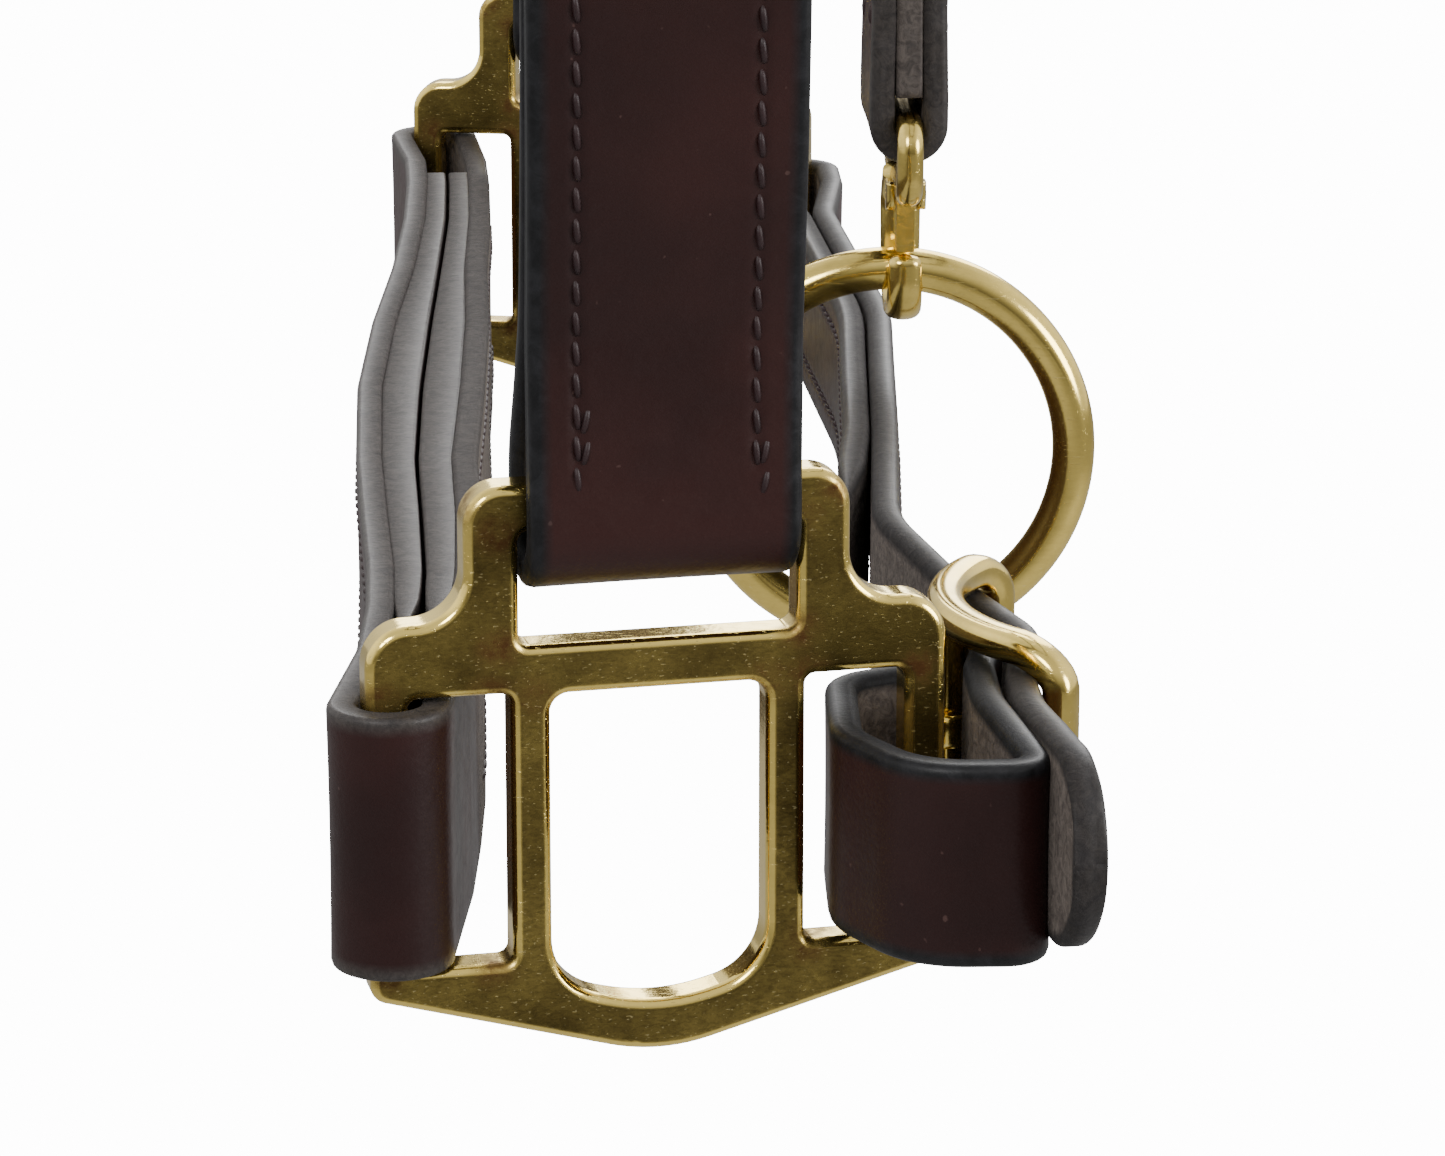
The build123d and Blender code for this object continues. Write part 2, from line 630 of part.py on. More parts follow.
with BuildPart() as snap_gate_pin:
    with BuildSketch(snap_plane):
        with Locations((-hook_turn, gate_pivot_rise)):
            Circle(gate_pin_radius)
    extrude(amount=snap_thickness / 2, both=True)
snap_gate_pin.part.label = "snap_gate_pin"
export_step(snap_gate_pin.part, "parts/snap_gate_pin.step")

gate_tip_rise = hook_tip_rise + 0.25
gate_thickness = 1.5

with BuildPart() as snap_gate:
    with BuildSketch(snap_plane):
        with Locations((-hook_turn, gate_pivot_rise)):
            Circle(gate_hub)
        with Locations((-hook_turn + gate_hub - gate_thickness / 2, (gate_pivot_rise + gate_tip_rise) / 2)):
            Rectangle(gate_thickness, gate_pivot_rise - gate_tip_rise)
        with Locations((-hook_turn, gate_pivot_rise)):
            Circle(gate_pin_radius + tongue_play, mode=Mode.SUBTRACT)
    extrude(amount=gate_width / 2, both=True)
snap_gate.part.label = "snap_gate"
export_step(snap_gate.part, "parts/snap_gate.step")

with BuildPart() as snap_gate_spring:
    spring_points = [
        (-0.9, eye_bar_rise - eye_height - snap_stock / 2 - 0.2), (-1.2, gate_pivot_rise - 2.4),
        (-hook_turn + gate_hub + 0.25, gate_tip_rise + 2.2),
    ]
    with BuildSketch(snap_plane):
        band(spring_points, [3], 0.3)
    extrude(amount=gate_width / 2 - 0.2, both=True)
snap_gate_spring.part.label = "snap_gate_spring"
export_step(snap_gate_spring.part, "parts/snap_gate_spring.step")

connector_thickness = 3 * ply + 2 * ply_gap     # the two plies have a filler between them

with BuildPart() as connector_strap:
    eye_turn = snap_stock * 0.75 + seat_gap + ply / 2
    middle_x = throat_reach * cos(radians(throat_drop))
    middle_z = ring_z - throat_reach * sin(radians(throat_drop))
    through = Vector(cos(radians(throat_drop)), -sin(radians(throat_drop)))
    across = Vector(sin(radians(throat_drop)), cos(radians(throat_drop)))
    centre = Vector(middle_x, middle_z)
    half_through = doubled / 2 + seat_gap + ply / 2
    half_across = half_narrow + seat_gap + ply / 2
    start = centre - across * (half_across + 12)
    with BuildSketch(Plane(origin=(0, snap_y, 0), x_dir=(1, 0, 0), z_dir=(0, -1, 0))):
        band([start, Vector(snap_x, eye_z + 34), Vector(snap_x, eye_z + 7)], [55], connector_thickness)
        sleeve = [
            start - through * lap, centre - through * half_through - across * (half_across - 2),
            centre - through * half_through + across * half_across,
            centre + through * half_through + across * half_across,
            centre + through * half_through - across * (half_across - 2), start + through * lap,
        ]
        band(sleeve, [3, 1.6, 1.6, 3], ply)
        eye_fold = [
            (snap_x - lap, eye_z + 13), (snap_x - eye_turn, eye_z + 3), (snap_x - eye_turn, eye_z - eye_turn),
            (snap_x + eye_turn, eye_z - eye_turn), (snap_x + eye_turn, eye_z + 3), (snap_x + lap, eye_z + 13),
        ]
        band(eye_fold, [6, eye_turn - 0.01, eye_turn - 0.01, 6], ply)
    extrude(amount=half_narrow, both=True)
connector_strap.part.label = "connector_strap"
export_step(connector_strap.part, "parts/connector_strap.step")
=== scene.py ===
import bmesh
import bpy
import json
import numpy as np
from math import atan2, cos, pi, radians, sin, sqrt, tan
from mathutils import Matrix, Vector


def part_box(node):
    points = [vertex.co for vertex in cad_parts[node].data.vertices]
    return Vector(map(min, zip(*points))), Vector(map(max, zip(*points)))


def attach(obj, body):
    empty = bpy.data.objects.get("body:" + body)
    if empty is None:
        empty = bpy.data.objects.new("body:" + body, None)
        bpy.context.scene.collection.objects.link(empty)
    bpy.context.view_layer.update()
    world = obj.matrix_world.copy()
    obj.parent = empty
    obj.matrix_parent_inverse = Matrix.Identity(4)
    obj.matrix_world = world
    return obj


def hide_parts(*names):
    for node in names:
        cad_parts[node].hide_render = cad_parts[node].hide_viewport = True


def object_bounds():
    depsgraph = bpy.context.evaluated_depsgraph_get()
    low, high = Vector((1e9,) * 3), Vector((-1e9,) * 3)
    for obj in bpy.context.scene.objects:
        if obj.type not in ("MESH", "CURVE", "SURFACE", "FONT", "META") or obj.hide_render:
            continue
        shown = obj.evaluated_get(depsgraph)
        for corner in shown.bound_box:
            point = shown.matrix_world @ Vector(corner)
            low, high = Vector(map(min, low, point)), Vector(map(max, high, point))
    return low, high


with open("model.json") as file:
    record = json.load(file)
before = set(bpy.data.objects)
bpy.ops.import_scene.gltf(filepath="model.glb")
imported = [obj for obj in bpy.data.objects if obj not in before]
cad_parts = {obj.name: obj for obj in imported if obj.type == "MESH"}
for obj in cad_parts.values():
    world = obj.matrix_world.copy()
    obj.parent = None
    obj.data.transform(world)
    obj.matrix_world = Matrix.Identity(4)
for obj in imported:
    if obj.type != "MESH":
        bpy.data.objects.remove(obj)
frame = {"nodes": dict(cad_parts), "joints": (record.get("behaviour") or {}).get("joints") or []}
nodes = frame["nodes"]
joints = {joint["name"]: joint for joint in frame["joints"]}
cad_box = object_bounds()
mm = 0.001

# ======================================================================== Cheek squares
# Two flat castings in yellow brass. Each has a slot at the top for the cheek strap, one at each side for the
# nose and chin straps, and a window. They were cast, brushed flat on the faces and polished on the edges, and
# brown tarnish stays in the corners of the slots, where a cloth does not reach.

square_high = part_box("near_cheek_square")[1]
square_top = 26.6
square_z = square_high.z / mm - square_top
half_span = 124.0
toe_in = radians(11)


def shader_group(name, inputs):
    """An empty node group with these (name, kind, value) inputs, and a colour, a roughness and a height as
    outputs. Gives the group and its two end nodes."""
    group = bpy.data.node_groups.new(name, "ShaderNodeTree")
    for label, kind, value in inputs:
        socket = group.interface.new_socket(name=label, in_out="INPUT", socket_type="NodeSocket" + kind)
        socket.default_value = value
    for label, kind in (("Color", "Color"), ("Roughness", "Float"), ("Height", "Float")):
        group.interface.new_socket(name=label, in_out="OUTPUT", socket_type="NodeSocket" + kind)
    return group, group.nodes.new("NodeGroupInput"), group.nodes.new("NodeGroupOutput")


def add_node(tree, kind, feeds=None, **settings):
    """A shader node with its settings, and its inputs either linked from a socket or given a value."""
    node = tree.nodes.new("ShaderNode" + kind)
    for label, value in settings.items():
        setattr(node, label, value)
    for label, value in (feeds or {}).items():
        if isinstance(value, bpy.types.NodeSocket):
            tree.links.new(value, node.inputs[label])
        else:
            node.inputs[label].default_value = value
    return node


def math_node(tree, operation, first, second=0.0, third=0.0, clamp=False):
    """One sum, as a socket."""
    node = add_node(tree, "Math", {0: first, 1: second, 2: third}, operation=operation, use_clamp=clamp)
    return node.outputs[0]


def mix_colour(tree, amount, first, second, blend="MIX"):
    """Two colours mixed, as a socket."""
    node = add_node(tree, "Mix", {0: amount, 6: first, 7: second}, data_type="RGBA", blend_type=blend)
    return node.outputs[2]


def ramp(tree, value, low, high, rising=True):
    """0 below low and 1 above high, with a smooth rise between, as a socket."""
    first, last = (0.0, 1.0) if rising else (1.0, 0.0)
    feeds = {"Value": value, "From Min": low, "From Max": high, "To Min": first, "To Max": last}
    return add_node(tree, "MapRange", feeds, interpolation_type="SMOOTHSTEP").outputs[0]


def noise(tree, place, scale, detail, roughness=0.5, distortion=0.0):
    """Cloudy noise at a place, as a socket."""
    feeds = {"Vector": place, "Scale": scale, "Detail": detail, "Roughness": roughness}
    feeds["Distortion"] = distortion
    return add_node(tree, "TexNoise", feeds).outputs["Fac"]


def give(group, gives, colour, roughness, height):
    """Joins a group's three results to its output node."""
    for label, value in (("Color", colour), ("Roughness", roughness), ("Height", height)):
        group.links.new(value, gives.inputs[label])


brass_wear, given, gives = shader_group(
    "brass wear",
    [
        ("Vector", "Vector", (0, 0, 0)), ("Dulled and shaded", "Float", 0.3), ("Tarnish", "Float", 0.0),
        ("Brushing", "Float", 1.0),
    ],
)
# The dark dull colour serves both for real dulling and, on the cheek squares' flat faces, for painted shade.
bright_brass, dull_and_shaded_brass = (0.93, 0.70, 0.19, 1), (0.075, 0.052, 0.016, 1)
brushed_brass, scratched_brass = (0.035, 0.024, 0.009, 1), (0.98, 0.84, 0.42, 1)
brown_tarnish = (0.085, 0.032, 0.014, 1)
place = given.outputs["Vector"]
cloud = noise(brass_wear, place, 130.0, 5.0, 0.6)
blotch = noise(brass_wear, place, 520.0, 6.0, 0.7)
stretched = add_node(
    brass_wear, "Mapping", {"Vector": place, "Rotation": (0.0, 0.35, 0.0), "Scale": (420.0, 2600.0, 2600.0)},
)
brushed = noise(brass_wear, stretched.outputs[0], 1.0, 5.0, 0.7, 0.8)
crossed = add_node(
    brass_wear, "Mapping", {"Vector": place, "Rotation": (0.0, -0.75, 0.0), "Scale": (260.0, 5200.0, 5200.0)},
)
scored = noise(brass_wear, crossed.outputs[0], 1.0, 1.0, distortion=0.3)
scratch = ramp(brass_wear, scored, 0.68, 0.74)
# The dulling mixes towards the dark brass by random clouds, which is real wear, plus the group's dulling
# input, which on the cheek squares carries painted shade on the flat faces.
dull_and_shade = math_node(brass_wear, "MULTIPLY_ADD", cloud, 0.7, -0.35)
dull_and_shade = math_node(brass_wear, "ADD", dull_and_shade, given.outputs["Dulled and shaded"], clamp=True)
metal = mix_colour(brass_wear, dull_and_shade, bright_brass, dull_and_shaded_brass)
fine = math_node(brass_wear, "MULTIPLY", ramp(brass_wear, brushed, 0.35, 0.7), given.outputs["Brushing"])
metal = mix_colour(brass_wear, math_node(brass_wear, "MULTIPLY", fine, 0.5), metal, brushed_brass)
metal = mix_colour(brass_wear, math_node(brass_wear, "MULTIPLY", scratch, 0.3), metal, scratched_brass)
brown = math_node(brass_wear, "MULTIPLY_ADD", ramp(brass_wear, blotch, 0.38, 0.62), 0.6, 0.4)
brown = math_node(brass_wear, "MULTIPLY", brown, given.outputs["Tarnish"], clamp=True)
metal = mix_colour(brass_wear, brown, metal, brown_tarnish)
rough = math_node(brass_wear, "MULTIPLY_ADD", dull_and_shade, 0.20, 0.12)
rough = math_node(brass_wear, "MULTIPLY_ADD", fine, 0.12, rough)
rough = math_node(brass_wear, "MULTIPLY_ADD", brown, 0.4, rough, clamp=True)
height = math_node(brass_wear, "MULTIPLY", brushed, given.outputs["Brushing"])
height = math_node(brass_wear, "MULTIPLY_ADD", scratch, -0.8, height)
height = math_node(brass_wear, "MULTIPLY_ADD", blotch, 0.25, height)
height = math_node(brass_wear, "MULTIPLY_ADD", cloud, 3.0, height)
give(brass_wear, gives, metal, rough, height)


def finish_with(name, group, settings, socket_values, bump, depth):
    """A material whose colour, roughness and bump come from one group. Each setting of the group is a value,
    or the kind of a node, the attribute it reads and its output."""
    material = bpy.data.materials.new(name)
    material.use_nodes = True
    tree = material.node_tree
    surface = tree.nodes["Principled BSDF"]
    worked = tree.nodes.new("ShaderNodeGroup")
    worked.node_tree = group
    for label, value in settings.items():
        if isinstance(value, tuple) and isinstance(value[0], str):
            kind, attribute, output = value
            source = add_node(tree, kind, **({"attribute_name": attribute} if attribute else {}))
            tree.links.new(source.outputs[output], worked.inputs[label])
        else:
            worked.inputs[label].default_value = value
    tree.links.new(worked.outputs["Color"], surface.inputs["Base Color"])
    tree.links.new(worked.outputs["Roughness"], surface.inputs["Roughness"])
    relief = add_node(tree, "Bump", {"Strength": bump, "Distance": depth, "Height": worked.outputs["Height"]})
    tree.links.new(relief.outputs[0], surface.inputs["Normal"])
    for label, value in socket_values.items():
        surface.inputs[label].default_value = value
    return material


def plain_brass(name, dulled, brushing, tarnish, bump, depth):
    """Brass that is worn the same all over."""
    settings = {
        "Vector": ("TexCoord", "", "Object"), "Dulled and shaded": dulled, "Brushing": brushing, "Tarnish": tarnish,
    }
    return finish_with(name, brass_wear, settings, {"Metallic": 1.0}, bump, depth)


slot_corners = (
    (12.8, 11.7), (12.8, 22.3), (13.6, 7.3), (23.0, 7.3), (13.6, -18.3), (23.0, -18.3), (10.0, 7.0),
    (16.5, 25.0),
)


def square_brass(name, side):
    """Brass that is brushed on the two flat faces and painted darker there as shade, the faces being picked
    by which way the surface points, so that the rounded edges stay bright; and brown near the corners of the
    slots and the window: a mask that falls with the distance to the nearest corner."""
    material = finish_with(name, brass_wear, {}, {"Metallic": 1.0}, 0.35, 0.00006)
    tree = material.node_tree
    worked = next(node for node in tree.nodes if node.type == "GROUP")
    where = add_node(tree, "TexCoord")
    to_middle = (0, side * half_span * mm, -square_z * mm)
    turned = add_node(
        tree, "Mapping", {"Vector": where.outputs["Object"], "Location": to_middle}, vector_type="POINT",
    )
    squared = add_node(
        tree, "VectorRotate", {"Vector": turned.outputs[0], "Angle": side * toe_in}, rotation_type="Z_AXIS",
    )
    tree.links.new(squared.outputs[0], worked.inputs["Vector"])
    out_of_face = (sin(toe_in), -side * cos(toe_in), 0)
    feeds = {0: where.outputs["Normal"], 1: out_of_face}
    facing = add_node(tree, "VectorMath", feeds, operation="DOT_PRODUCT")
    # Painted shade: the flat faces, which point straight out of the square, are darkened through the group's
    # dulling input, and their brushing is stronger; the rounded edges keep the bright brass.
    flat = ramp(tree, math_node(tree, "ABSOLUTE", facing.outputs["Value"]), 0.93, 0.995)
    tree.links.new(math_node(tree, "MULTIPLY_ADD", flat, 0.86, -0.04), worked.inputs["Dulled and shaded"])
    tree.links.new(math_node(tree, "MULTIPLY_ADD", flat, 0.85, 0.15), worked.inputs["Brushing"])
    folded = add_node(tree, "VectorMath", {0: squared.outputs[0]}, operation="ABSOLUTE")
    parts = add_node(tree, "SeparateXYZ", {0: folded.outputs[0]})
    signed = add_node(tree, "SeparateXYZ", {0: squared.outputs[0]})
    level = add_node(tree, "CombineXYZ", {"X": parts.outputs["X"], "Z": signed.outputs["Z"]})
    nearest_corner = 1.0
    for across, up in slot_corners:
        corner = (across * mm, 0, up * mm)
        away = add_node(tree, "VectorMath", {0: level.outputs[0], 1: corner}, operation="DISTANCE")
        nearest_corner = math_node(tree, "MINIMUM", nearest_corner, away.outputs["Value"])
    stain = ramp(tree, nearest_corner, 0.0004, 0.0030, rising=False)
    tree.links.new(math_node(tree, "MULTIPLY", stain, 0.85), worked.inputs["Tarnish"])
    return material


def dress(node, material):
    """Gives a CAD piece its material."""
    piece = nodes[node]
    piece.data.materials.clear()
    piece.data.materials.append(material)
    return piece


dress("near_cheek_square", square_brass("near square brass", 1))
dress("far_cheek_square", square_brass("far square brass", -1))

# ======================================================================== Rings
# Three rings bent from round brass wire, brazed and polished: one on each cheek where the crown, cheek and
# throat straps meet, and one that hangs in the snap and goes round the chin strap.


def join_grid(name, grid, closed_along, closed_around, marks=None, caps=False):
    """A mesh through a grid of places, rows by columns, with one face for each cell; marks are numbers kept
    on the vertices. The faces are turned outwards if the volume they enclose comes out negative."""
    rows, columns = grid.shape[:2]
    index = np.arange(rows * columns).reshape(rows, columns)
    first = index if closed_along else index[:-1]
    nxt = np.roll(index, -1, axis=0) if closed_along else index[1:]
    side, side_next = np.roll(first, -1, axis=1), np.roll(nxt, -1, axis=1)
    if not closed_around:
        first, nxt, side, side_next = first[:, :-1], nxt[:, :-1], side[:, :-1], side_next[:, :-1]
    faces = np.stack([first, side, side_next, nxt], axis=-1).reshape(-1, 4)
    places = grid.reshape(-1, 3) * mm
    corner = places[faces]
    volume = np.einsum("ij,ij->i", corner[:, 0], np.cross(corner[:, 1], corner[:, 2])).sum()
    volume += np.einsum("ij,ij->i", corner[:, 0], np.cross(corner[:, 2], corner[:, 3])).sum()
    polygons = faces.tolist()
    if caps:
        polygons += [index[0][::-1].tolist(), index[-1].tolist()]
    if volume < 0:
        polygons = [polygon[::-1] for polygon in polygons]
    mesh = bpy.data.meshes.new(name)
    mesh.from_pydata(places.tolist(), [], polygons)
    mesh.polygons.foreach_set("use_smooth", np.ones(len(polygons), bool))
    for label, values in (marks or {}).items():
        mark = mesh.attributes.new(label, "FLOAT", "POINT")
        mark.data.foreach_set("value", np.ascontiguousarray(values, dtype=np.float32).reshape(-1))
    mesh.update()
    piece = bpy.data.objects.new(name, mesh)
    bpy.context.scene.collection.objects.link(piece)
    return piece


ring_wire_radius = 2.45
ring_brass = plain_brass("ring brass", 0.10, 0.20, 0.0, 0.2, 0.00004)


def ring(name, body, node):
    """A round wire bent into a circle: the centre moved by (R + r cos b) out at angle a, and r sin b across,
    with R the ring's middle radius and r the wire's, which is a little worn towards the bore."""
    low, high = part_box(node)
    centre = np.array((low + high) / 2) / mm
    radius = (high.z - low.z) / 2 / mm - ring_wire_radius
    along = np.linspace(0, 2 * pi, 160, endpoint=False)[:, None]
    around = np.linspace(0, 2 * pi, 28, endpoint=False)[None, :]
    wire = ring_wire_radius * (1 - 0.02 * (np.cos(around + pi) > 0.6) + 0.004 * np.sin(7 * along + around))
    out = radius + wire * np.cos(around)
    grid = np.stack([out * np.cos(along), wire * np.sin(around) + 0 * along, out * np.sin(along)], axis=-1)
    piece = join_grid(name, grid + centre, True, True)
    piece.data.materials.append(ring_brass)
    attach(piece, body)
    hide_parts(node)
    return centre, radius


near_ring_centre, ring_radius = ring("near_throat_ring_wire", "headcollar", "near_throat_ring")
ring("far_throat_ring_wire", "headcollar", "far_throat_ring")
chin_ring_centre, chin_ring_radius = ring("chin_ring_wire", "chin_ring", "chin_ring")

# ======================================================================== Cheek straps
# Each is one long piece of bridle leather, folded round the throat ring at the top and the square's top bar
# at the bottom, with its two plies laid flesh to flesh and sewn down both edges with waxed thread. The edges
# are rounded and dyed black.

leather_finish, given, gives = shader_group(
    "leather finish",
    [
        ("Vector", "Vector", (0, 0, 0)), ("Edge", "Float", 0.0), ("Flesh", "Float", 0.0),
        ("Hole Shade", "Float", 0.0), ("Worn", "Float", 0.0),
    ],
)
place, on_edge = given.outputs["Vector"], given.outputs["Edge"]
on_flesh, hole_shade = given.outputs["Flesh"], given.outputs["Hole Shade"]
hide = noise(leather_finish, place, 38.0, 4.0, 0.55)
grain = add_node(
    leather_finish, "TexVoronoi", {"Vector": place, "Scale": 1500.0, "Randomness": 1.0}, feature="F1",
)
pores = noise(leather_finish, place, 2600.0, 2.0, 0.6)
creases = noise(leather_finish, place, 420.0, 5.0, 0.65, 0.6)
speck = noise(leather_finish, place, 900.0, 1.0)
fibres = noise(leather_finish, place, 700.0, 6.0, 0.75, 1.2)
dark_hide, light_hide = (0.0150, 0.0042, 0.0038, 1), (0.0270, 0.0078, 0.0066, 1)
rubbed_hide = (0.06, 0.03, 0.026, 1)
dark_flesh, light_flesh = (0.050, 0.040, 0.035, 1), (0.15, 0.125, 0.108, 1)
dark_edge, light_edge = (0.0035, 0.0035, 0.0042, 1), (0.012, 0.012, 0.014, 1)
dyed = mix_colour(leather_finish, ramp(leather_finish, hide, 0.32, 0.7), dark_hide, light_hide)
dyed = mix_colour(leather_finish, ramp(leather_finish, speck, 0.77, 0.83), dyed, rubbed_hide)
fleshy = mix_colour(leather_finish, ramp(leather_finish, fibres, 0.3, 0.7), dark_flesh, light_flesh)
edge_colour = mix_colour(leather_finish, ramp(leather_finish, creases, 0.35, 0.7), dark_edge, light_edge)
edge_colour = mix_colour(leather_finish, given.outputs["Worn"], edge_colour, fleshy)
surface_colour = mix_colour(leather_finish, on_flesh, dyed, fleshy)
surface_colour = mix_colour(leather_finish, on_edge, surface_colour, edge_colour)
# Painted shade: each punched hole, which is only a thin spot in the leather, is coloured near black as if one
# looked into it.
surface_colour = mix_colour(leather_finish, hole_shade, surface_colour, (0.004, 0.003, 0.003, 1))
rough = math_node(leather_finish, "MULTIPLY_ADD", creases, 0.24, 0.30)
rough = math_node(leather_finish, "MULTIPLY_ADD", on_edge, 0.06, rough)
rough = math_node(leather_finish, "MULTIPLY_ADD", on_flesh, 0.40, rough, clamp=True)
relief = math_node(leather_finish, "MULTIPLY_ADD", grain.outputs["Distance"], -0.35, 0.35)
relief = math_node(leather_finish, "MULTIPLY_ADD", pores, 0.35, relief)
relief = math_node(leather_finish, "MULTIPLY_ADD", creases, 0.5, relief)
relief = math_node(
    leather_finish, "MULTIPLY_ADD", math_node(leather_finish, "MULTIPLY", fibres, on_flesh), 3.0, relief,
)
give(leather_finish, gives, surface_colour, rough, relief)

leather_settings = {
    label: ("Attribute", label.lower(), "Fac") for label in ("Edge", "Flesh", "Hole Shade", "Worn")
}
leather_settings["Vector"] = ("TexCoord", "", "Object")
bridle_leather = finish_with(
    "bridle leather", leather_finish, leather_settings,
    {"Specular IOR Level": 0.26, "Coat Weight": 0.03, "Coat Roughness": 0.30}, 0.6, 0.00009,
)

thread_finish, given, gives = shader_group("thread finish", [("Vector", "Vector", (0, 0, 0))])
place = given.outputs[0]
fuzz = noise(thread_finish, place, 3200.0, 3.0)
wax = noise(thread_finish, place, 240.0, 2.0)
thread_colour = mix_colour(thread_finish, wax, (0.010, 0.0035, 0.0042, 1), (0.030, 0.011, 0.012, 1))
give(thread_finish, gives, thread_colour, math_node(thread_finish, "MULTIPLY_ADD", wax, 0.2, 0.42), fuzz)
waxed_thread = finish_with(
    "waxed thread", thread_finish, {"Vector": ("TexCoord", "", "Object")}, {"Specular IOR Level": 0.4}, 0.5,
    0.00008,
)

ply = 3.0
square_thickness = 4.5
top_bar = 4.3
fold_radius = square_thickness / 2 + 0.6 + ply / 2
seat_gap = 0.35


def rounded_path(points, radii, closed=False, step=0.7):
    """Straight runs joined by arcs that touch them, as places about one step apart. At a corner the arc's
    middle lies on the line that halves the corner, r / sin(h) away, with h half the angle between the two
    runs."""
    points = np.array(points, float)
    count = len(points)
    corners = range(count) if closed else range(1, count - 1)
    runs = [] if closed else [points[:1]]
    for corner, radius in zip(corners, radii):
        here = points[corner]
        back = points[corner - 1] - here
        ahead = points[(corner + 1) % count] - here
        back, ahead = back / np.linalg.norm(back), ahead / np.linalg.norm(ahead)
        half = np.arccos(np.clip(back @ ahead, -1, 1)) / 2
        if half > pi / 2 - 1e-4:
            runs.append(here[None, :])
            continue
        middle = here + (back + ahead) / np.linalg.norm(back + ahead) * radius / sin(half)
        start = here + back * radius / tan(half) - middle
        end = here + ahead * radius / tan(half) - middle
        turn = pi - 2 * half
        share = np.linspace(0, 1, max(3, int(radius * turn / 0.3)))[:, None]
        runs.append(middle + (np.sin((1 - share) * turn) * start + np.sin(share * turn) * end) / sin(turn))
    if not closed:
        runs.append(points[-1:])
    line = np.concatenate(runs)
    if closed:
        line = np.concatenate([line, line[:1]])
    gaps = np.linalg.norm(np.diff(line, axis=0), axis=1)
    line, gaps = line[np.concatenate([[True], gaps > 1e-6])], gaps[gaps > 1e-6]
    reach = np.concatenate([[0], np.cumsum(gaps)])
    samples = np.linspace(0, reach[-1], int(reach[-1] / step) + 1)
    if closed:
        samples = samples[:-1]
    return np.stack([np.interp(samples, reach, line[:, axis]) for axis in range(line.shape[1])], axis=1)


def length_along(places):
    """The distance from a path's first place to each of its places."""
    return np.concatenate([[0], np.cumsum(np.linalg.norm(np.diff(places, axis=0), axis=1))])


def nearest(line, spot):
    """Which place of a flat line is nearest to a spot."""
    return np.argmin(np.hypot(line[:, 0] - spot[0], line[:, 1] - spot[1]))


def path_frame(places, across, closed):
    """At each place of a path, the distance along it, the heading and the direction out of the strap's grain
    side. Out is the heading turned a quarter about the across direction, and on a loop it is turned to face
    away from what the loop encloses, which the sign of the loop's area tells."""
    if closed:
        heading = np.roll(places, -1, axis=0) - np.roll(places, 1, axis=0)
    else:
        heading = np.gradient(places, axis=0)
    heading /= np.linalg.norm(heading, axis=1)[:, None]
    out = np.cross(heading, across)
    out /= np.linalg.norm(out, axis=1)[:, None]
    if closed:
        area = np.cross(places - places[0], np.roll(places, -1, axis=0) - places[0])
        out = out * np.sign((area * across).sum())
    return length_along(places), heading, out


def with_round_end(places, length):
    """The path with its last stretch sampled more finely towards the end, at length times the sine of even
    turns."""
    reach = length_along(places)
    samples = np.concatenate(
        [reach[reach < reach[-1] - length], reach[-1] - length + length * np.sin(np.linspace(0, pi / 2, 24))]
    )
    return np.stack([np.interp(samples, reach, places[:, axis]) for axis in range(3)], axis=1)


